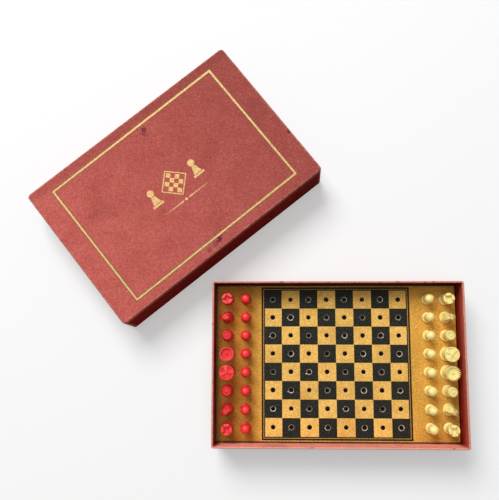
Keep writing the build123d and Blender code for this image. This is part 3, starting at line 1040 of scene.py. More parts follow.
def turned_man_tree():
    """Turns an outline about Z, softens its corners, raises the mould seam and cuts a ring of gaps."""
    tree = Tree("Turned man")
    outline = tree.input("Outline", "Geometry")
    segments = tree.input("Segments", "Int")
    corner_steps = tree.input("Corner Steps", "Int")
    seam = tree.input("Seam Height", "Float")
    cutter = tree.input("Cutter", "Object")
    cuts = tree.input("Cuts", "Int")
    cut_radius = tree.input("Cut Radius", "Float")
    cut_height = tree.input("Cut Height", "Float")
    first_cut = tree.input("First Cut", "Float")
    material = tree.input("Material", "Material")

    # The outline runs round a small circle, so it is first moved in by that circle's radius
    pivot = 1 * mm
    line = tree.add("GeometryNodeMeshToCurve", Mesh=outline)
    line = tree.add(
        "GeometryNodeFilletCurve", {"mode": "POLY"},
        Curve=line, Count=corner_steps, Radius=tree.named("round"), Limit_Radius=True,
    )
    line = tree.add("GeometryNodeSetPosition", Geometry=line, Offset=(-pivot, 0, 0))
    circle = tree.add("GeometryNodeCurvePrimitiveCircle", Resolution=segments, Radius=pivot)
    circle = tree.add("GeometryNodeSetCurveNormal", {"mode": "Z_UP"}, Curve=circle)
    shell = tree.add("GeometryNodeCurveToMesh", Curve=circle, Profile_Curve=line)
    body = tree.add("GeometryNodeMergeByDistance", Geometry=shell, Distance=weld)

    # Mould seam: points on the XZ plane stand out a little, but not on the axis or the peg
    place = tree.add("GeometryNodeInputPosition")
    x, y, z = tree.axes(place)
    hair = 0.01 * mm
    tip = 0.5 * mm
    foot = 0.3 * mm
    on_plane = tree.within(y, hair)
    off_axis = tree.math("GREATER_THAN", tree.math("ABSOLUTE", x), tip)
    off_peg = tree.math("GREATER_THAN", z, foot)
    on_seam = tree.times(on_plane, off_axis, off_peg)
    normal = tree.add("GeometryNodeInputNormal")
    raised = tree.add("ShaderNodeVectorMath", {"operation": "SCALE"}, Vector=normal, Scale=seam)
    body = tree.add("GeometryNodeSetPosition", Geometry=body, Selection=on_seam, Offset=raised)

    # Ring of gaps, each cutter's X axis pointing outwards
    fewest = 3.0
    number = tree.math("MAXIMUM", cuts, fewest)
    points = tree.add("GeometryNodeMeshCircle", Vertices=number, Radius=cut_radius)
    facing = tree.add("FunctionNodeAlignRotationToVector", {"axis": "X"}, Vector=place)
    shape = tree.shape_of(cutter)
    gaps = tree.add("GeometryNodeInstanceOnPoints", Points=points, Instance=shape, Rotation=facing)
    lift = tree.vector(0.0, 0.0, cut_height)
    turn = tree.vector(0.0, 0.0, first_cut)
    gaps = tree.add("GeometryNodeTransform", Geometry=gaps, Translation=lift, Rotation=turn)
    gaps = tree.add("GeometryNodeRealizeInstances", Geometry=gaps)
    has_cuts = tree.math("GREATER_THAN", cuts, 0.0)
    choice = {"Switch": has_cuts, "False": body, "True": tree.cut(body, gaps)}
    man = tree.add("GeometryNodeSwitch", {"input_type": "GEOMETRY"}, **choice)
    crease = 32
    tree.end(man, crease, [(True, material)])
    return tree


def punched_panel_tree():
    """Punches worn holes through a plate, and chips the edge of some of them."""
    tree = Tree("Punched panel")
    plate = tree.input("Plate", "Geometry")
    places = tree.input("Places", "Object")
    punch = tree.input("Punch", "Object")
    chip = tree.input("Chip", "Object")
    chip_reach = tree.input("Chip Reach", "Float")
    seed = tree.input("Seed", "Int")
    inside_x = tree.input("Inside X", "Float")
    inside_y = tree.input("Inside Y", "Float")
    floor = tree.input("Chip Floor", "Float")
    surface = tree.input("Surface", "Material")
    torn = tree.input("Torn", "Material")

    # Ranges that chance draws from: a hole's width, a chip's way from its hole and a chip's size
    widths = (0.94, 1.07)
    ways = (radians(175), radians(240))
    sizes = (0.4, 1.1)

    points = tree.shape_of(places)
    spin = tree.vector(0.0, 0.0, tree.chance(0.0, 2 * pi, seed, 0))
    wide = tree.chance(*widths, seed, 1)
    holes = tree.add(
        "GeometryNodeInstanceOnPoints", Points=points, Instance=tree.shape_of(punch),
        Rotation=spin, Scale=tree.vector(wide, wide, 1.0),
    )
    holes = tree.add("GeometryNodeRealizeInstances", Geometry=holes)

    # Chips lie on the near left of their holes, turned and sized by chance
    keep = tree.math("LESS_THAN", tree.chance(0.0, 1.0, seed, 2), tree.named("chipped"))
    angle = tree.chance(*ways, seed, 3)
    off_x = tree.math("MULTIPLY", tree.math("COSINE", angle), chip_reach)
    off_y = tree.math("MULTIPLY", tree.math("SINE", angle), chip_reach)
    beside = tree.add("GeometryNodeSetPosition", Geometry=points, Offset=tree.vector(off_x, off_y, 0.0))
    chip_size = tree.chance(*sizes, seed, 4)
    chips = tree.add(
        "GeometryNodeInstanceOnPoints", Points=beside, Selection=keep, Instance=tree.shape_of(chip),
        Rotation=tree.vector(0.0, 0.0, angle), Scale=tree.vector(chip_size, chip_size, 1.0),
    )
    chips = tree.add("GeometryNodeRealizeInstances", Geometry=chips)
    punched = tree.cut(tree.cut(plate, holes), chips)

    # Faces away from the plate's own edge that slant, stand upright or lie in a chip are torn fibre
    x, y, z = tree.axes(tree.add("GeometryNodeInputPosition"))
    _, _, up = tree.axes(tree.add("GeometryNodeInputNormal"))
    level = 0.995
    upwards = 0.5
    slanting = tree.within(up, level)
    sunk = tree.times(tree.math("GREATER_THAN", up, upwards), tree.math("LESS_THAN", z, floor))
    inside = tree.times(tree.within(x, inside_x), tree.within(y, inside_y))
    bare = tree.times(tree.math("MAXIMUM", slanting, sunk), inside)
    crease = 30
    tree.end(punched, crease, [(True, surface), (bare, torn)])
    return tree


# Outlines of the men from the peg's tip upwards: radius, height above the panel, rounding
def bowed(start, middle, end, steps=10):
    """Points of a smooth curve from just after the start to the end, through a middle point."""
    first, last = Vector(start), Vector(end)
    control = 2 * Vector(middle) - (first + last) / 2
    found = []
    for number in range(1, steps + 1):
        part = number / steps
        point = (1 - part) ** 2 * first + 2 * part * (1 - part) * control + part**2 * last
        found.append((point.x, point.y, 0.0))
    return found


def flared(neck, crown, low, high, spread):
    """A crown's side from the neck up: upright at first, and then out to the crown's edge."""
    bend = 0.55
    middle = (neck + spread * (crown - neck), low + bend * (high - low))
    return bowed((neck, low), middle, (crown, high))


def dome(radius, height, steps=4):
    """A half ball that stands at a height on the axis, as the last points of an outline."""
    angles = [pi / 2 * number / steps for number in range(1, steps)]
    round_part = [(radius * cos(angle), height + radius * sin(angle), 0.0) for angle in angles]
    return [*round_part, (0.0, height + radius, 0.0)]


def stem(plastic, base, neck, neck_height):
    """A peg, a rounded foot and a slightly hollow stem up to the neck."""
    foot = base / 2
    shoulder = foot - plastic.foot_round
    shoulder_height = plastic.foot_edge + plastic.foot_round
    waist = (shoulder + neck / 2) / 2 - plastic.hollow
    waist_height = (shoulder_height + neck_height) / 2
    return [
        (0.0, -plastic.peg_length, 0.0),
        (plastic.peg - plastic.peg_chamfer, -plastic.peg_length, 0.0),
        (plastic.peg, plastic.peg_chamfer - plastic.peg_length, 0.0),
        (plastic.peg, 0.0, plastic.soft / 2),
        (foot, 0.0, plastic.soft),
        (foot, shoulder_height, plastic.foot_round),
        (shoulder, shoulder_height, plastic.soft),
        *bowed((shoulder, shoulder_height), (waist, waist_height), (neck / 2, neck_height)),
    ]


def pawn_outline(plastic, pawn, base, height):
    head = pawn.head / 2
    middle = height - head
    start = asin(pawn.neck / 2 / head)
    steps = 18
    angles = [start + (pi - start) * number / steps for number in range(1, steps)]
    ball = [(head * sin(angle), middle - head * cos(angle), 0.0) for angle in angles]
    return [*stem(plastic, base, pawn.neck, middle - head * cos(start)), *ball, (0.0, height, 0.0)]


def rook_outline(plastic, rook, base, height):
    crown = rook.crown / 2
    well = rook.well / 2
    well_floor = height - rook.well_depth
    return [
        *stem(plastic, base, rook.neck, rook.neck_height),
        (crown, rook.neck_height + rook.flare, plastic.soft),
        (crown, height, plastic.soft),
        (well, height, plastic.soft / 2),
        (well, well_floor, plastic.soft),
        (0.0, well_floor, 0.0),
    ]


def bishop_outline(plastic, bishop, base, height):
    head = bishop.head / 2
    nib = bishop.nib / 2
    top = height - nib
    outer = bishop.groove_outer / 2
    inner = bishop.groove_inner / 2
    groove_floor = top - bishop.groove_depth
    return [
        *stem(plastic, base, bishop.neck, bishop.neck_height),
        (head, bishop.neck_height + bishop.head_edge, plastic.soft),
        (head, top - bishop.head_edge, plastic.soft),
        ((head + outer) / 2, top, plastic.soft),
        (outer, top, plastic.soft / 2),
        (outer, groove_floor, plastic.soft / 2),
        (inner, groove_floor, plastic.soft / 2),
        (inner, top, plastic.soft / 2),
        (nib, top, 0.0),
        *dome(nib, top),
    ]


def queen_outline(plastic, queen, base, height):
    crown = queen.crown / 2
    inner = crown - queen.rim
    bead = queen.bead / 2
    dish_floor = height - queen.dish_depth
    return [
        *stem(plastic, base, queen.neck, queen.neck_height),
        *flared(queen.neck / 2, crown, queen.neck_height, height, 0.3),
        (inner, height, plastic.soft / 2),
        (inner - queen.dish_slope, dish_floor, plastic.soft),
        (bead, dish_floor, 0.0),
        *dome(bead, dish_floor),
    ]


def king_outline(plastic, king, base, height):
    crown = king.crown / 2
    top = height - king.boss_height
    edge_low = top - king.crown_edge
    return [
        *stem(plastic, base, king.neck, king.neck_height),
        *flared(king.neck / 2, crown, king.neck_height, edge_low, 0.35),
        (crown, top, plastic.soft),
        (king.boss / 2, top, plastic.soft / 2),
        (king.boss / 4, height, plastic.soft),
        (0.0, height, 0.0),
    ]


def outline_mesh(outline):
    """A line of points for the turning tree, which takes it from the top down with heights negated."""
    points = [(radius, -height, 0.0) for radius, height, _ in reversed(outline)]
    mesh = bpy.data.meshes.new("outline")
    mesh.from_pydata(points, [(here, here + 1) for here in range(len(points) - 1)], [])
    rounding = mesh.attributes.new("round", "FLOAT", "POINT")
    rounding.data.foreach_set("value", [amount for _, _, amount in reversed(outline)])
    return mesh


# Cutters, whose X axis points outwards
def box_cutter(span, width, depth):
    outline = [(0, -width / 2), (span, -width / 2), (span, width / 2), (0, width / 2)]
    cutter = bmesh.new()
    add_prism(cutter, [(x, y, -depth) for x, y in outline], (0, 0, 2 * depth))
    return to_mesh(cutter, "box_cutter")


def pocket_cutter(king, steps=8):
    """The pocket between two arms of the cross, which widen towards the rim."""
    rim = king.crown / 2 - king.rim
    waist = king.cross_waist / 2
    widening = (king.cross_end / 2 - waist) / rim
    half_gap = pi / king.arms
    apex = waist / (sin(half_gap) - widening)
    edge = []
    for number in range(steps + 1):
        radius = apex + (rim - apex) * number / steps
        edge.append((radius, half_gap - asin((waist + widening * radius) / radius)))
    rim_angle = edge[-1][1]
    arc = [(rim, rim_angle * (1 - 2 * number / steps)) for number in range(1, steps)]
    back = [(radius, -angle) for radius, angle in reversed(edge[1:])]
    outline = [(radius * cos(angle), radius * sin(angle)) for radius, angle in edge + arc + back]
    start = king.boss / 2
    cutter = bmesh.new()
    add_prism(cutter, [(x - start, y, -king.dish_depth) for x, y in outline], (0, 0, 2 * king.dish_depth))
    return to_mesh(cutter, "pocket_cutter")


def punch_mesh(panel, steps=40):
    """A punch with a flared, ragged shoulder. Its origin is at the panel's top."""
    over = 0.6 * mm
    waves = 2.3
    rings = (
        (panel.hole, -panel_size.z - over, 0.0),
        (panel.hole, -panel.torn_depth, 0.0),
        (panel.torn, 0.0, panel.ragged),
        (panel.torn + over, over, panel.ragged),
    )
    punch = bmesh.new()
    loops = []
    for radius, height, ragged in rings:
        loop = []
        for number in range(steps):
            angle = 2 * pi * number / steps
            way = Vector((cos(angle), sin(angle), 0))
            reach = radius + ragged * noise.noise(waves * way)
            loop.append(punch.verts.new(way * reach + Vector((0, 0, height))))
        loops.append(loop)
    add_skin(punch, loops)
    return to_mesh(punch, "punch")


def chip_mesh(panel):
    """A shallow scoop whose point faces outwards. Its origin is at the panel's top."""
    long = panel.chip / 2
    wide = panel.chip / 3.5
    over = 0.4 * mm
    narrowing = 0.45
    outline = [
        (-long, -wide), (0.2 * long, -0.8 * wide), (long, 0), (0.1 * long, wide), (-long, 0.7 * wide)
    ]
    chip = bmesh.new()
    bottom = [chip.verts.new((narrowing * x, narrowing * y, -panel.chip_depth)) for x, y in outline]
    rim = [chip.verts.new((x, y, over)) for x, y in outline]
    add_skin(chip, [bottom, rim])
    return to_mesh(chip, "chip")


# Box and panel, with the distances from a worn edge at which its wear is strong, half gone and gone
strongly_worn = 0.6 * mm
half_worn = 1.2 * mm
unworn = 2.5 * mm


def make_tray(box):
    """Covers the tray's walls with paper, over the rim and down the inside, and dresses its card."""
    low, high = tray_low.z, tray_high.z
    wall, paper, rim = box.tray_wall, box.paper, box.rim_round
    profile = [
        (0.0, low, 0.8),
        (0.0, low + strongly_worn, 0.5),
        (0.0, low + unworn, 0.0),
        (0.0, high - unworn, 0.0),
        (0.0, high - half_worn, 0.5),
        *quarter(rim, high - rim, rim, 180, 1.15),
        *quarter(wall - rim, high - rim, rim, 90, 1.0),
        (wall, high - half_worn, 0.4),
        (wall, high - unworn, 0.0),
        (wall, box.tray_floor, 0.0),
        (wall - paper, box.tray_floor, 0.0),
        (wall - paper, high - paper, 0.0),
        (paper, high - paper, 0.0),
        (paper, low, 0.0),
    ]
    shell = ring_shell(RingPlan(tray_size.x, tray_size.y, box.tray_corner), profile, box.wear_reach, True)
    add_tucks(shell, box)
    mesh = to_mesh(shell, "tray_paper")
    smooth(mesh)
    piece = new_piece("tray_paper", mesh, paper_finish(box, "tray", tray_high.z))
    hand_in(piece, "tray", "cover_paper", "tray_wrap")
    board = card_finish(box)
    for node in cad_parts:
        if node == "tray_shell" or node.startswith("support_strip"):
            dress(node, board)


def add_tucks(shell, box):
    """Folded corners of the paper, on the inside of the tray's two long walls."""
    inner_x = tray_size.x / 2 - box.tray_wall
    inner_y = tray_size.y / 2 - box.tray_wall
    top = tray_high.z - 1.0 * mm
    bottom = panel_top - 1.0 * mm
    sunk = 0.05 * mm
    clear = 0.1 * mm
    for end, side in corners:
        wall_y = side * (inner_y + sunk)
        corner_x = end * (inner_x - clear)
        outline = [
            (corner_x, wall_y, top),
            (corner_x, wall_y, bottom),
            (corner_x - end * 0.5 * box.flap, wall_y, bottom),
            (corner_x - end * box.flap, wall_y, top - 0.5 * box.flap),
        ]
        add_prism(shell, outline, (0, -side * (box.flap_step + sunk), 0))


def make_lid(box):
    """Covers the lid with paper down to its lower edge, and spreads its card with the paper."""
    low, top = lid_low.z, lid_high.z
    paper, edge = box.paper, box.lid_edge
    rubbed = 1.4 * mm
    whole = 3.0 * mm
    middle = 12.0 * mm
    profile = [
        (whole, top - paper, 0.0),
        (paper + edge, top - paper, 0.0),
        (paper, top - paper - edge, 0.0),
        (paper, low, 0.0),
        (0.0, low, 0.9),
        (0.0, low + strongly_worn, 0.6),
        (0.0, low + unworn, 0.0),
        (0.0, top - whole, 0.0),
        (0.0, top - half_worn, 0.5),
        *quarter(edge, top - edge, edge, 180, 0.9),
        (rubbed, top, 0.5),
        (whole, top, 0.0),
        (middle, top, 0.0),
    ]
    shell = ring_shell(RingPlan(lid_size.x, lid_size.y, box.lid_corner), profile, box.wear_reach)
    add_flaps(shell, box)
    spread_skirt(shell, box)
    mesh = to_mesh(shell, "lid_paper", lid_frame)
    smooth(mesh)
    piece = new_piece("lid_paper", mesh, paper_finish(box, "lid", lid_high.z))
    hand_in(piece, "lid", "cover_paper", "lid_wrap")
    make_lid_board(box)


def make_lid_board(box):
    """The lid's card, spread like the paper over it."""
    core = bmesh.new()
    core.from_mesh(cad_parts["lid_shell"].data)
    core.transform(lid_frame.inverted())
    spread_skirt(core, box)
    board = to_mesh(core, "lid_board", lid_frame)
    piece = new_piece("lid_board", board, card_finish(box))
    hand_in(piece, "lid", "card", "lid_shell")


def spread_skirt(shell, box):
    """Spreads the lid's worn skirt outwards towards its lower edge, the near side most."""
    for vertex in shell.verts:
        depth = (lid_high.z - vertex.co.z) / (lid_high.z - lid_low.z)
        flare = box.near_flare if vertex.co.y < 0 else box.end_flare
        vertex.co.x *= 1 + box.end_flare * depth / (lid_size.x / 2)
        vertex.co.y *= 1 + flare * depth / (lid_size.y / 2)


def add_flaps(shell, box):
    """Paper flaps of the long sides, folded round the corners on to the lid's two ends."""
    half_x = lid_size.x / 2
    half_y = lid_size.y / 2 - box.lid_corner
    low = lid_low.z + 0.2 * mm
    top = lid_high.z - 1.5 * mm
    sunk = 0.05 * mm
    for end, side in corners:
        wall_x = end * (half_x - sunk)
        outline = [
            (wall_x, side * half_y, low),
            (wall_x, side * half_y, top),
            (wall_x, side * (half_y - 0.6 * box.flap), top - 0.5 * box.flap),
            (wall_x, side * (half_y - box.flap), low + 0.3 * box.flap),
            (wall_x, side * (half_y - 0.9 * box.flap), low),
        ]
        add_prism(shell, outline, (end * (box.flap_step + sunk), 0, 0))


def foot_of(node):
    """Middle and width of a man's foot, where it stands on the panel."""
    near = 0.5 * mm
    foot = [vertex.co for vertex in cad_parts[node].data.vertices if abs(vertex.co.z - panel_top) < near]
    low_x, high_x = min(point.x for point in foot), max(point.x for point in foot)
    low_y, high_y = min(point.y for point in foot), max(point.y for point in foot)
    return Vector(((low_x + high_x) / 2, (low_y + high_y) / 2, panel_top)), high_x - low_x


def hole_places(panel):
    """A point at each peg hole, with how likely its edge is chipped: mostly on dark squares."""
    field = range(-half_field, half_field)
    half = panel.square / 2
    on_pale = 0.05
    on_dark = 0.5
    points = []
    chipped = []
    for column in field:
        for row in field:
            points.append((column * panel.square + half, row * panel.square + half, panel_top))
            chipped.append(on_dark if (column + row) % 2 else on_pale)
    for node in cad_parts:
        if node.split("_")[0] in sides:
            points.append(foot_of(node)[0])
            chipped.append(0.0)
    mesh = bpy.data.meshes.new("hole_places")
    mesh.from_pydata(points, [], [])
    mesh.attributes.new("chipped", "FLOAT", "POINT").data.foreach_set("value", chipped)
    return mesh


def make_panel(panel):
    """Punches the panel and prints it."""
    low, high, edge = panel_low.z, panel_high.z, panel.edge
    profile = [(edge, low, 0.0), (0.0, low + edge, 0.0), (0.0, high - edge, 0.0), (edge, high, 0.0)]
    plate = ring_shell(RingPlan(panel_size.x, panel_size.y, panel.corner), profile, edge)
    tools = {
        "Places": new_piece("hole_places", hole_places(panel)),
        "Punch": new_piece("punch", punch_mesh(panel)),
        "Chip": new_piece("chip", chip_mesh(panel)),
    }
    values = {
        **tools,
        "Chip Reach": panel.torn + 0.1 * panel.chip,
        "Seed": panel.seed,
        "Inside X": panel_size.x / 2 - abs(panel_middle) - 2 * edge,
        "Inside Y": panel_size.y / 2 - 2 * edge,
        "Chip Floor": panel_top - skin,
        "Surface": panel_finish(panel),
        "Torn": torn_finish(panel),
    }
    lying = to_mesh(plate, "plate", Matrix.Translation((panel_middle, 0, 0)))
    mesh = run_tree(punched_panel_tree(), lying, values)
    for tool in tools.values():
        bpy.data.objects.remove(tool)
    hand_in(new_piece("printed_panel", mesh), "tray", "hardboard", "board_panel")


# Gilding, whose underside lies a little way down in the lid's paper
foil_sunk = 0.02 * mm


def make_gilding(gilt, box):
    """Stamps a gold rule round the lid's top, and an ornament in its middle."""
    gold = gold_finish(gilt, box)
    turned = lid_frame @ Matrix.Rotation(gilt.rule_turn, 4, "Z")
    rule = new_piece("gold_rule", to_mesh(rule_shell(gilt), "gold_rule", turned), gold)
    hand_in(rule, "lid", "cover_paper")
    ornament_mesh = to_mesh(ornament_shell(gilt), "gold_ornament", lid_frame)
    ornament = new_piece("gold_ornament", ornament_mesh, gold)
    hand_in(ornament, "lid", "cover_paper")


def rule_shell(gilt):
    """A band of foil round the lid's top, with an edge that wanders."""
    low = lid_high.z - foil_sunk
    top = lid_high.z + gilt.foil
    soft = 0.65 * mm
    lump = 1.7 * mm
    apart = Vector((3.1, 5.7, 7.3))
    profile = [
        (0.0, low, 1.0),
        (0.0, top, 1.0),
        (soft, top, 0.2),
        (gilt.rule / 2, top, 0.0),
        (gilt.rule - soft, top, 0.2),
        (gilt.rule, top, 1.0),
        (gilt.rule, low, 1.0),
    ]
    span = 2 * gilt.rule_half_length + gilt.rule
    width = 2 * gilt.rule_half_width + gilt.rule
    shell = ring_shell(RingPlan(span, width, 0.0), profile, foil_sunk, True)
    for vertex in shell.verts:
        place = vertex.co / lump
        for axis in (0, 1):
            vertex.co[axis] += gilt.ragged * noise.noise(place + axis * apart)
    return shell


def ornament_shell(gilt):
    """Flat pieces of foil: a lozenge, two small pawns and a tapered line. Their edges aren't worn."""
    low = lid_high.z - foil_sunk
    outlines = [*lozenge_outlines(gilt), *pawn_outlines(gilt), *flourish_outlines(gilt)]
    shell = bmesh.new()
    shell.verts.layers.float.new("wear")
    for outline in outlines:
        add_prism(shell, [(x, y, low) for x, y in outline], (0, 0, gilt.foil + foil_sunk))
    return shell


def diamond(x, y, reach):
    """The corners of a square that stands on its point."""
    return [(x + reach, y), (x, y + reach), (x - reach, y), (x, y - reach)]


def upright(x, half_low, low, half_high, high):
    """The corners of a shape that stands upright, with half its width at its foot and at its top."""
    return [(x - half_low, low), (x + half_low, low), (x + half_high, high), (x - half_high, high)]


def lozenge_outlines(gilt, cells=4):
    """A line round a lozenge, and every other cell of the chequer inside it."""
    outer = diamond(0, 0, gilt.lozenge)
    inner = diamond(0, 0, gilt.lozenge - gilt.line * 2**0.5)
    outlines = []
    for here in range(4):
        there = (here + 1) % 4
        outlines.append([outer[here], outer[there], inner[there], inner[here]])
    reach = gilt.lozenge - 2 * gilt.line * 2**0.5
    cell = reach / cells
    for column in range(cells):
        for row in range(cells):
            if (column + row) % 2 == 0:
                outlines.append(diamond((column - row) * cell, (column + row + 1 - cells) * cell, cell))
    return outlines


def pawn_outlines(gilt, steps=14):
    """A small pawn on each side of the lozenge: a base, a body and a head."""
    height = gilt.pawn_height
    head = 0.19 * height
    angles = [2 * pi * number / steps for number in range(steps)]
    outlines = []
    for x in (-gilt.pawn_place, gilt.pawn_place):
        bottom = -height / 2
        half_foot, foot_top = 0.32 * height, bottom + 0.12 * height
        half_waist, neck = 0.1 * height, bottom + 0.58 * height
        half_hem, hem = 0.75 * half_foot, foot_top + 0.03 * height
        outlines.append(upright(x, half_foot, bottom, half_foot, foot_top))
        outlines.append(upright(x, half_hem, hem, half_waist, neck))
        ball = neck + 0.02 * height + head
        outlines.append([(x + head * cos(angle), ball + head * sin(angle)) for angle in angles])
    return outlines


def flourish_outlines(gilt):
    """Two tapered strokes with a small lozenge between them, under the larger one."""
    y = -gilt.lozenge - 3.5 * mm
    gap = 2.2 * mm
    thick = 0.5 * mm
    half = gilt.flourish / 2
    strokes = []
    for side in (-1, 1):
        strokes.append([(side * gap, y - thick), (side * half, y), (side * gap, y + thick)])
    return [*strokes, diamond(0, y, 1.3 * mm)]


# Men, and how far some of them are turned in their holes, in degrees
turns = {
    "red_rook_1": -35, "red_king": 12, "ivory_rook_1": 12, "ivory_rook_2": 5, "ivory_king": -35,
}


def men_of(kind):
    """Names of the men of one kind on both sides."""
    return [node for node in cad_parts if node.split("_")[1] == kind]


def stand(node, mesh, material):
    """Makes a man's finished mesh a piece that stands for its node."""
    side = node.split("_")[0]
    man = new_piece(f"{node}_moulded", mesh, material)
    hand_in(man, f"{node}_body", f"{side}_plastic", node)


def make_turned_men(kind, outline_of, cutter=None, cuts=0, radius=0.0, drop=0.0, first_cut=0.0):
    """Turns the men of one kind. Cutters stand in a ring, at a drop below each man's top."""
    scene = bpy.context.scene
    plastic = scene.chess_plastic
    tree = turned_man_tree()
    tool = new_piece("cutter", cutter) if cutter else None
    for node in men_of(kind):
        middle, base = foot_of(node)
        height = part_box(node)[1].z - panel_top
        material = plastic_finish(node, panel_top + height - drop)
        values = {
            "Segments": plastic.segments,
            "Corner Steps": plastic.corner_steps,
            "Seam Height": plastic.seam,
            "Cutter": tool,
            "Cuts": cuts,
            "Cut Radius": radius,
            "Cut Height": height - drop,
            "First Cut": first_cut,
            "Material": material,
        }
        outline = outline_of(plastic, getattr(scene, f"chess_{kind}"), base, height)
        mesh = run_tree(tree, outline_mesh(outline), values)
        mesh.transform(Matrix.Translation(middle) @ Matrix.Rotation(radians(turns.get(node, 0)), 4, "Z"))
        stand(node, mesh, material)
    if tool:
        bpy.data.objects.remove(tool)


def make_knights(plastic):
    """Softens the knights' carved heads as moulding does."""
    passes = 4
    crease = 60
    for node in men_of("knight"):
        carved = bmesh.new()
        carved.from_mesh(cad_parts[node].data)
        carrier = new_piece("knight_carrier", to_mesh(carved, "knight"))
        remesh = carrier.modifiers.new("remesh", "REMESH")
        remesh.mode = "VOXEL"
        remesh.voxel_size = plastic.grain
        soften = carrier.modifiers.new("soften", "SMOOTH")
        soften.iterations = passes
        mesh = plain_mesh(carrier)
        smooth(mesh, crease)
        stand(node, mesh, plastic_finish(node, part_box(node)[1].z))


# Stage
def make_stage(stage):
    """A pale floor, soft light from the far side and from above, and the camera above."""
    scene = bpy.context.scene
    scene.view_settings.view_transform = "Standard"
    half = 4.0
    below = -0.05 * mm
    nearest = 0.01
    mesh = bpy.data.meshes.new("floor")
    outline = [(-half, -half, below), (half, -half, below), (half, half, below), (-half, half, below)]
    mesh.from_pydata(outline, [], [(0, 1, 2, 3)])
    new_piece("floor", mesh, floor_finish(stage))

    hang_lamp("far_lamp", stage.far_place, stage.far_size, stage.far_power)
    top_lamp = hang_lamp("top_lamp", stage.top_place, stage.top_size, stage.top_power)
    top_lamp.visible_glossy = False
    light_world(stage)

    camera = bpy.data.cameras.new("camera")
    camera.lens = stage.lens
    camera.clip_start = nearest
    camera_object = bpy.data.objects.new("camera", camera)
    camera_object.location = stage.camera_place
    camera_object.rotation_euler = stage.camera_turn
    scene.collection.objects.link(camera_object)
    scene.camera = camera_object


def hang_lamp(name, place, side, power):
    """A square soft lamp, aimed at the middle of the object."""
    lamp = bpy.data.lights.new(name, "AREA")
    lamp.size = side
    lamp.energy = power
    lamp_object = bpy.data.objects.new(name, lamp)
    target = (Vector(cad_box[0]) + Vector(cad_box[1])) / 2
    lamp_object.location = place
    lamp_object.rotation_euler = (target - Vector(place)).to_track_quat("-Z", "Y").to_euler()
    bpy.context.scene.collection.objects.link(lamp_object)
    return lamp_object


def seen_directly(maker):
    """1 for rays that show the background itself, and 0 for those that light the object."""
    path = maker.graph.nodes.new("ShaderNodeLightPath")
    total = path.outputs["Is Camera Ray"]
    for name in ("Is Glossy Ray", "Is Transmission Ray"):
        total = maker.math("MAXIMUM", total, path.outputs[name])
    return total


def floor_finish(stage):
    """White table paper with a faint grain, a little whiter to the camera."""
    finish = Finish("white_floor")
    grain = finish.noise(1.5 * mm, 2)
    seen = seen_directly(finish)
    paper = finish.mix(grain, tinted(stage.floor, 0.985), stage.floor)
    finish.set("Base Color", finish.mix(seen, stage.floor_bounce, paper))
    finish.set("Roughness", 0.9)
    finish.set("Specular IOR Level", 0.1)
    finish.set("Emission Color", white)
    finish.set("Emission Strength", finish.times(seen, stage.floor_lift))
    return finish.material


def light_world(stage):
    """Even light from all round, and a white background where it is seen."""
    world = bpy.data.worlds.new("studio")
    world.use_nodes = True
    maker = NodeMaker(world.node_tree)
    background = world.node_tree.nodes["Background"]
    maker.feed(background.inputs["Color"], white)
    strength = maker.spread(seen_directly(maker), stage.ambient, 1.0)
    maker.feed(background.inputs["Strength"], strength)
    bpy.context.scene.world = world


# Operators
class CHESS_OT_tray(bpy.types.Operator):
    """Cover the tray with paper and dress its card"""

    bl_idname = "chess.tray"
    bl_label = "Tray"

    def execute(self, context):
        make_tray(context.scene.chess_box)
        return {"FINISHED"}


class CHESS_OT_panel(bpy.types.Operator):
    """Punch and print the playing panel"""

    bl_idname = "chess.panel"
    bl_label = "Panel"

    def execute(self, context):
        make_panel(context.scene.chess_panel)
        return {"FINISHED"}


class CHESS_OT_lid(bpy.types.Operator):
    """Cover the lid with paper and dress its card"""

    bl_idname = "chess.lid"
    bl_label = "Lid"

    def execute(self, context):
        make_lid(context.scene.chess_box)
        return {"FINISHED"}


class CHESS_OT_gilding(bpy.types.Operator):
    """Stamp the gold rule and ornament on the lid"""

    bl_idname = "chess.gilding"
    bl_label = "Gilding"

    def execute(self, context):
        make_gilding(context.scene.chess_gilt, context.scene.chess_box)
        return {"FINISHED"}


class CHESS_OT_pawns(bpy.types.Operator):
    """Turn the sixteen pawns"""

    bl_idname = "chess.pawns"
    bl_label = "Pawns"

    def execute(self, context):
        make_turned_men("pawn", pawn_outline)
        return {"FINISHED"}


class CHESS_OT_rooks(bpy.types.Operator):
    """Turn the four rooks and cut the gaps in their crowns"""

    bl_idname = "chess.rooks"
    bl_label = "Rooks"

    def execute(self, context):
        rook = context.scene.chess_rook
        cutter = box_cutter(rook.crown, rook.notch, rook.notch_depth)
        first = pi / rook.notches
        make_turned_men("rook", rook_outline, cutter, rook.notches, rook.well / 4, first_cut=first)
        return {"FINISHED"}


class CHESS_OT_bishops(bpy.types.Operator):
    """Turn the four bishops"""

    bl_idname = "chess.bishops"
    bl_label = "Bishops"

    def execute(self, context):
        make_turned_men("bishop", bishop_outline)
        return {"FINISHED"}


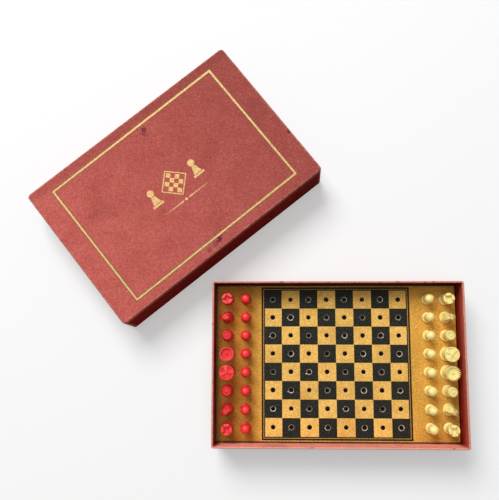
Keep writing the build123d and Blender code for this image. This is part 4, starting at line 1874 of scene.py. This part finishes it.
class CHESS_OT_queens(bpy.types.Operator):
    """Turn the two queens and cut their coronets"""

    bl_idname = "chess.queens"
    bl_label = "Queens"

    def execute(self, context):
        queen = context.scene.chess_queen
        cutter = box_cutter(2 * queen.tooth_reach, queen.tooth_gap, queen.tooth_depth)
        start = queen.crown / 2 - queen.tooth_reach
        make_turned_men("queen", queen_outline, cutter, queen.teeth, start)
        return {"FINISHED"}


class CHESS_OT_kings(bpy.types.Operator):
    """Turn the two kings and sink the pockets round their crosses"""

    bl_idname = "chess.kings"
    bl_label = "Kings"

    def execute(self, context):
        king = context.scene.chess_king
        first = pi / king.arms
        cutter = pocket_cutter(king)
        make_turned_men("king", king_outline, cutter, king.arms, king.boss / 2, king.boss_height, first)
        return {"FINISHED"}


class CHESS_OT_knights(bpy.types.Operator):
    """Soften the four knights as moulding does"""

    bl_idname = "chess.knights"
    bl_label = "Knights"

    def execute(self, context):
        make_knights(context.scene.chess_plastic)
        return {"FINISHED"}


class CHESS_OT_stage(bpy.types.Operator):
    """Set the floor, the light and the camera"""

    bl_idname = "chess.stage"
    bl_label = "Stage"

    def execute(self, context):
        make_stage(context.scene.chess_stage)
        return {"FINISHED"}


operators = (
    CHESS_OT_tray,
    CHESS_OT_panel,
    CHESS_OT_lid,
    CHESS_OT_gilding,
    CHESS_OT_pawns,
    CHESS_OT_rooks,
    CHESS_OT_bishops,
    CHESS_OT_queens,
    CHESS_OT_kings,
    CHESS_OT_knights,
    CHESS_OT_stage,
)


class CHESS_PT_finish(bpy.types.Panel):
    """Lists the steps that dress the chess set"""

    bl_label = "Chess set"
    bl_idname = "CHESS_PT_finish"
    bl_space_type = "VIEW_3D"
    bl_region_type = "UI"
    bl_category = "Chess set"

    def draw(self, context):
        for operator in operators:
            self.layout.operator(operator.bl_idname)


def register():
    for group in property_groups.values():
        bpy.utils.register_class(group)
    for name, group in property_groups.items():
        setattr(bpy.types.Scene, name, PointerProperty(type=group))
    for item in (*operators, CHESS_PT_finish):
        bpy.utils.register_class(item)


def unregister():
    for item in (CHESS_PT_finish, *reversed(operators)):
        bpy.utils.unregister_class(item)
    for name in property_groups:
        delattr(bpy.types.Scene, name)
    for group in property_groups.values():
        bpy.utils.unregister_class(group)


def main():
    register()
    for operator in operators:
        family, step = operator.bl_idname.split(".")
        getattr(getattr(bpy.ops, family), step)()


if __name__ == "__main__":
    main()
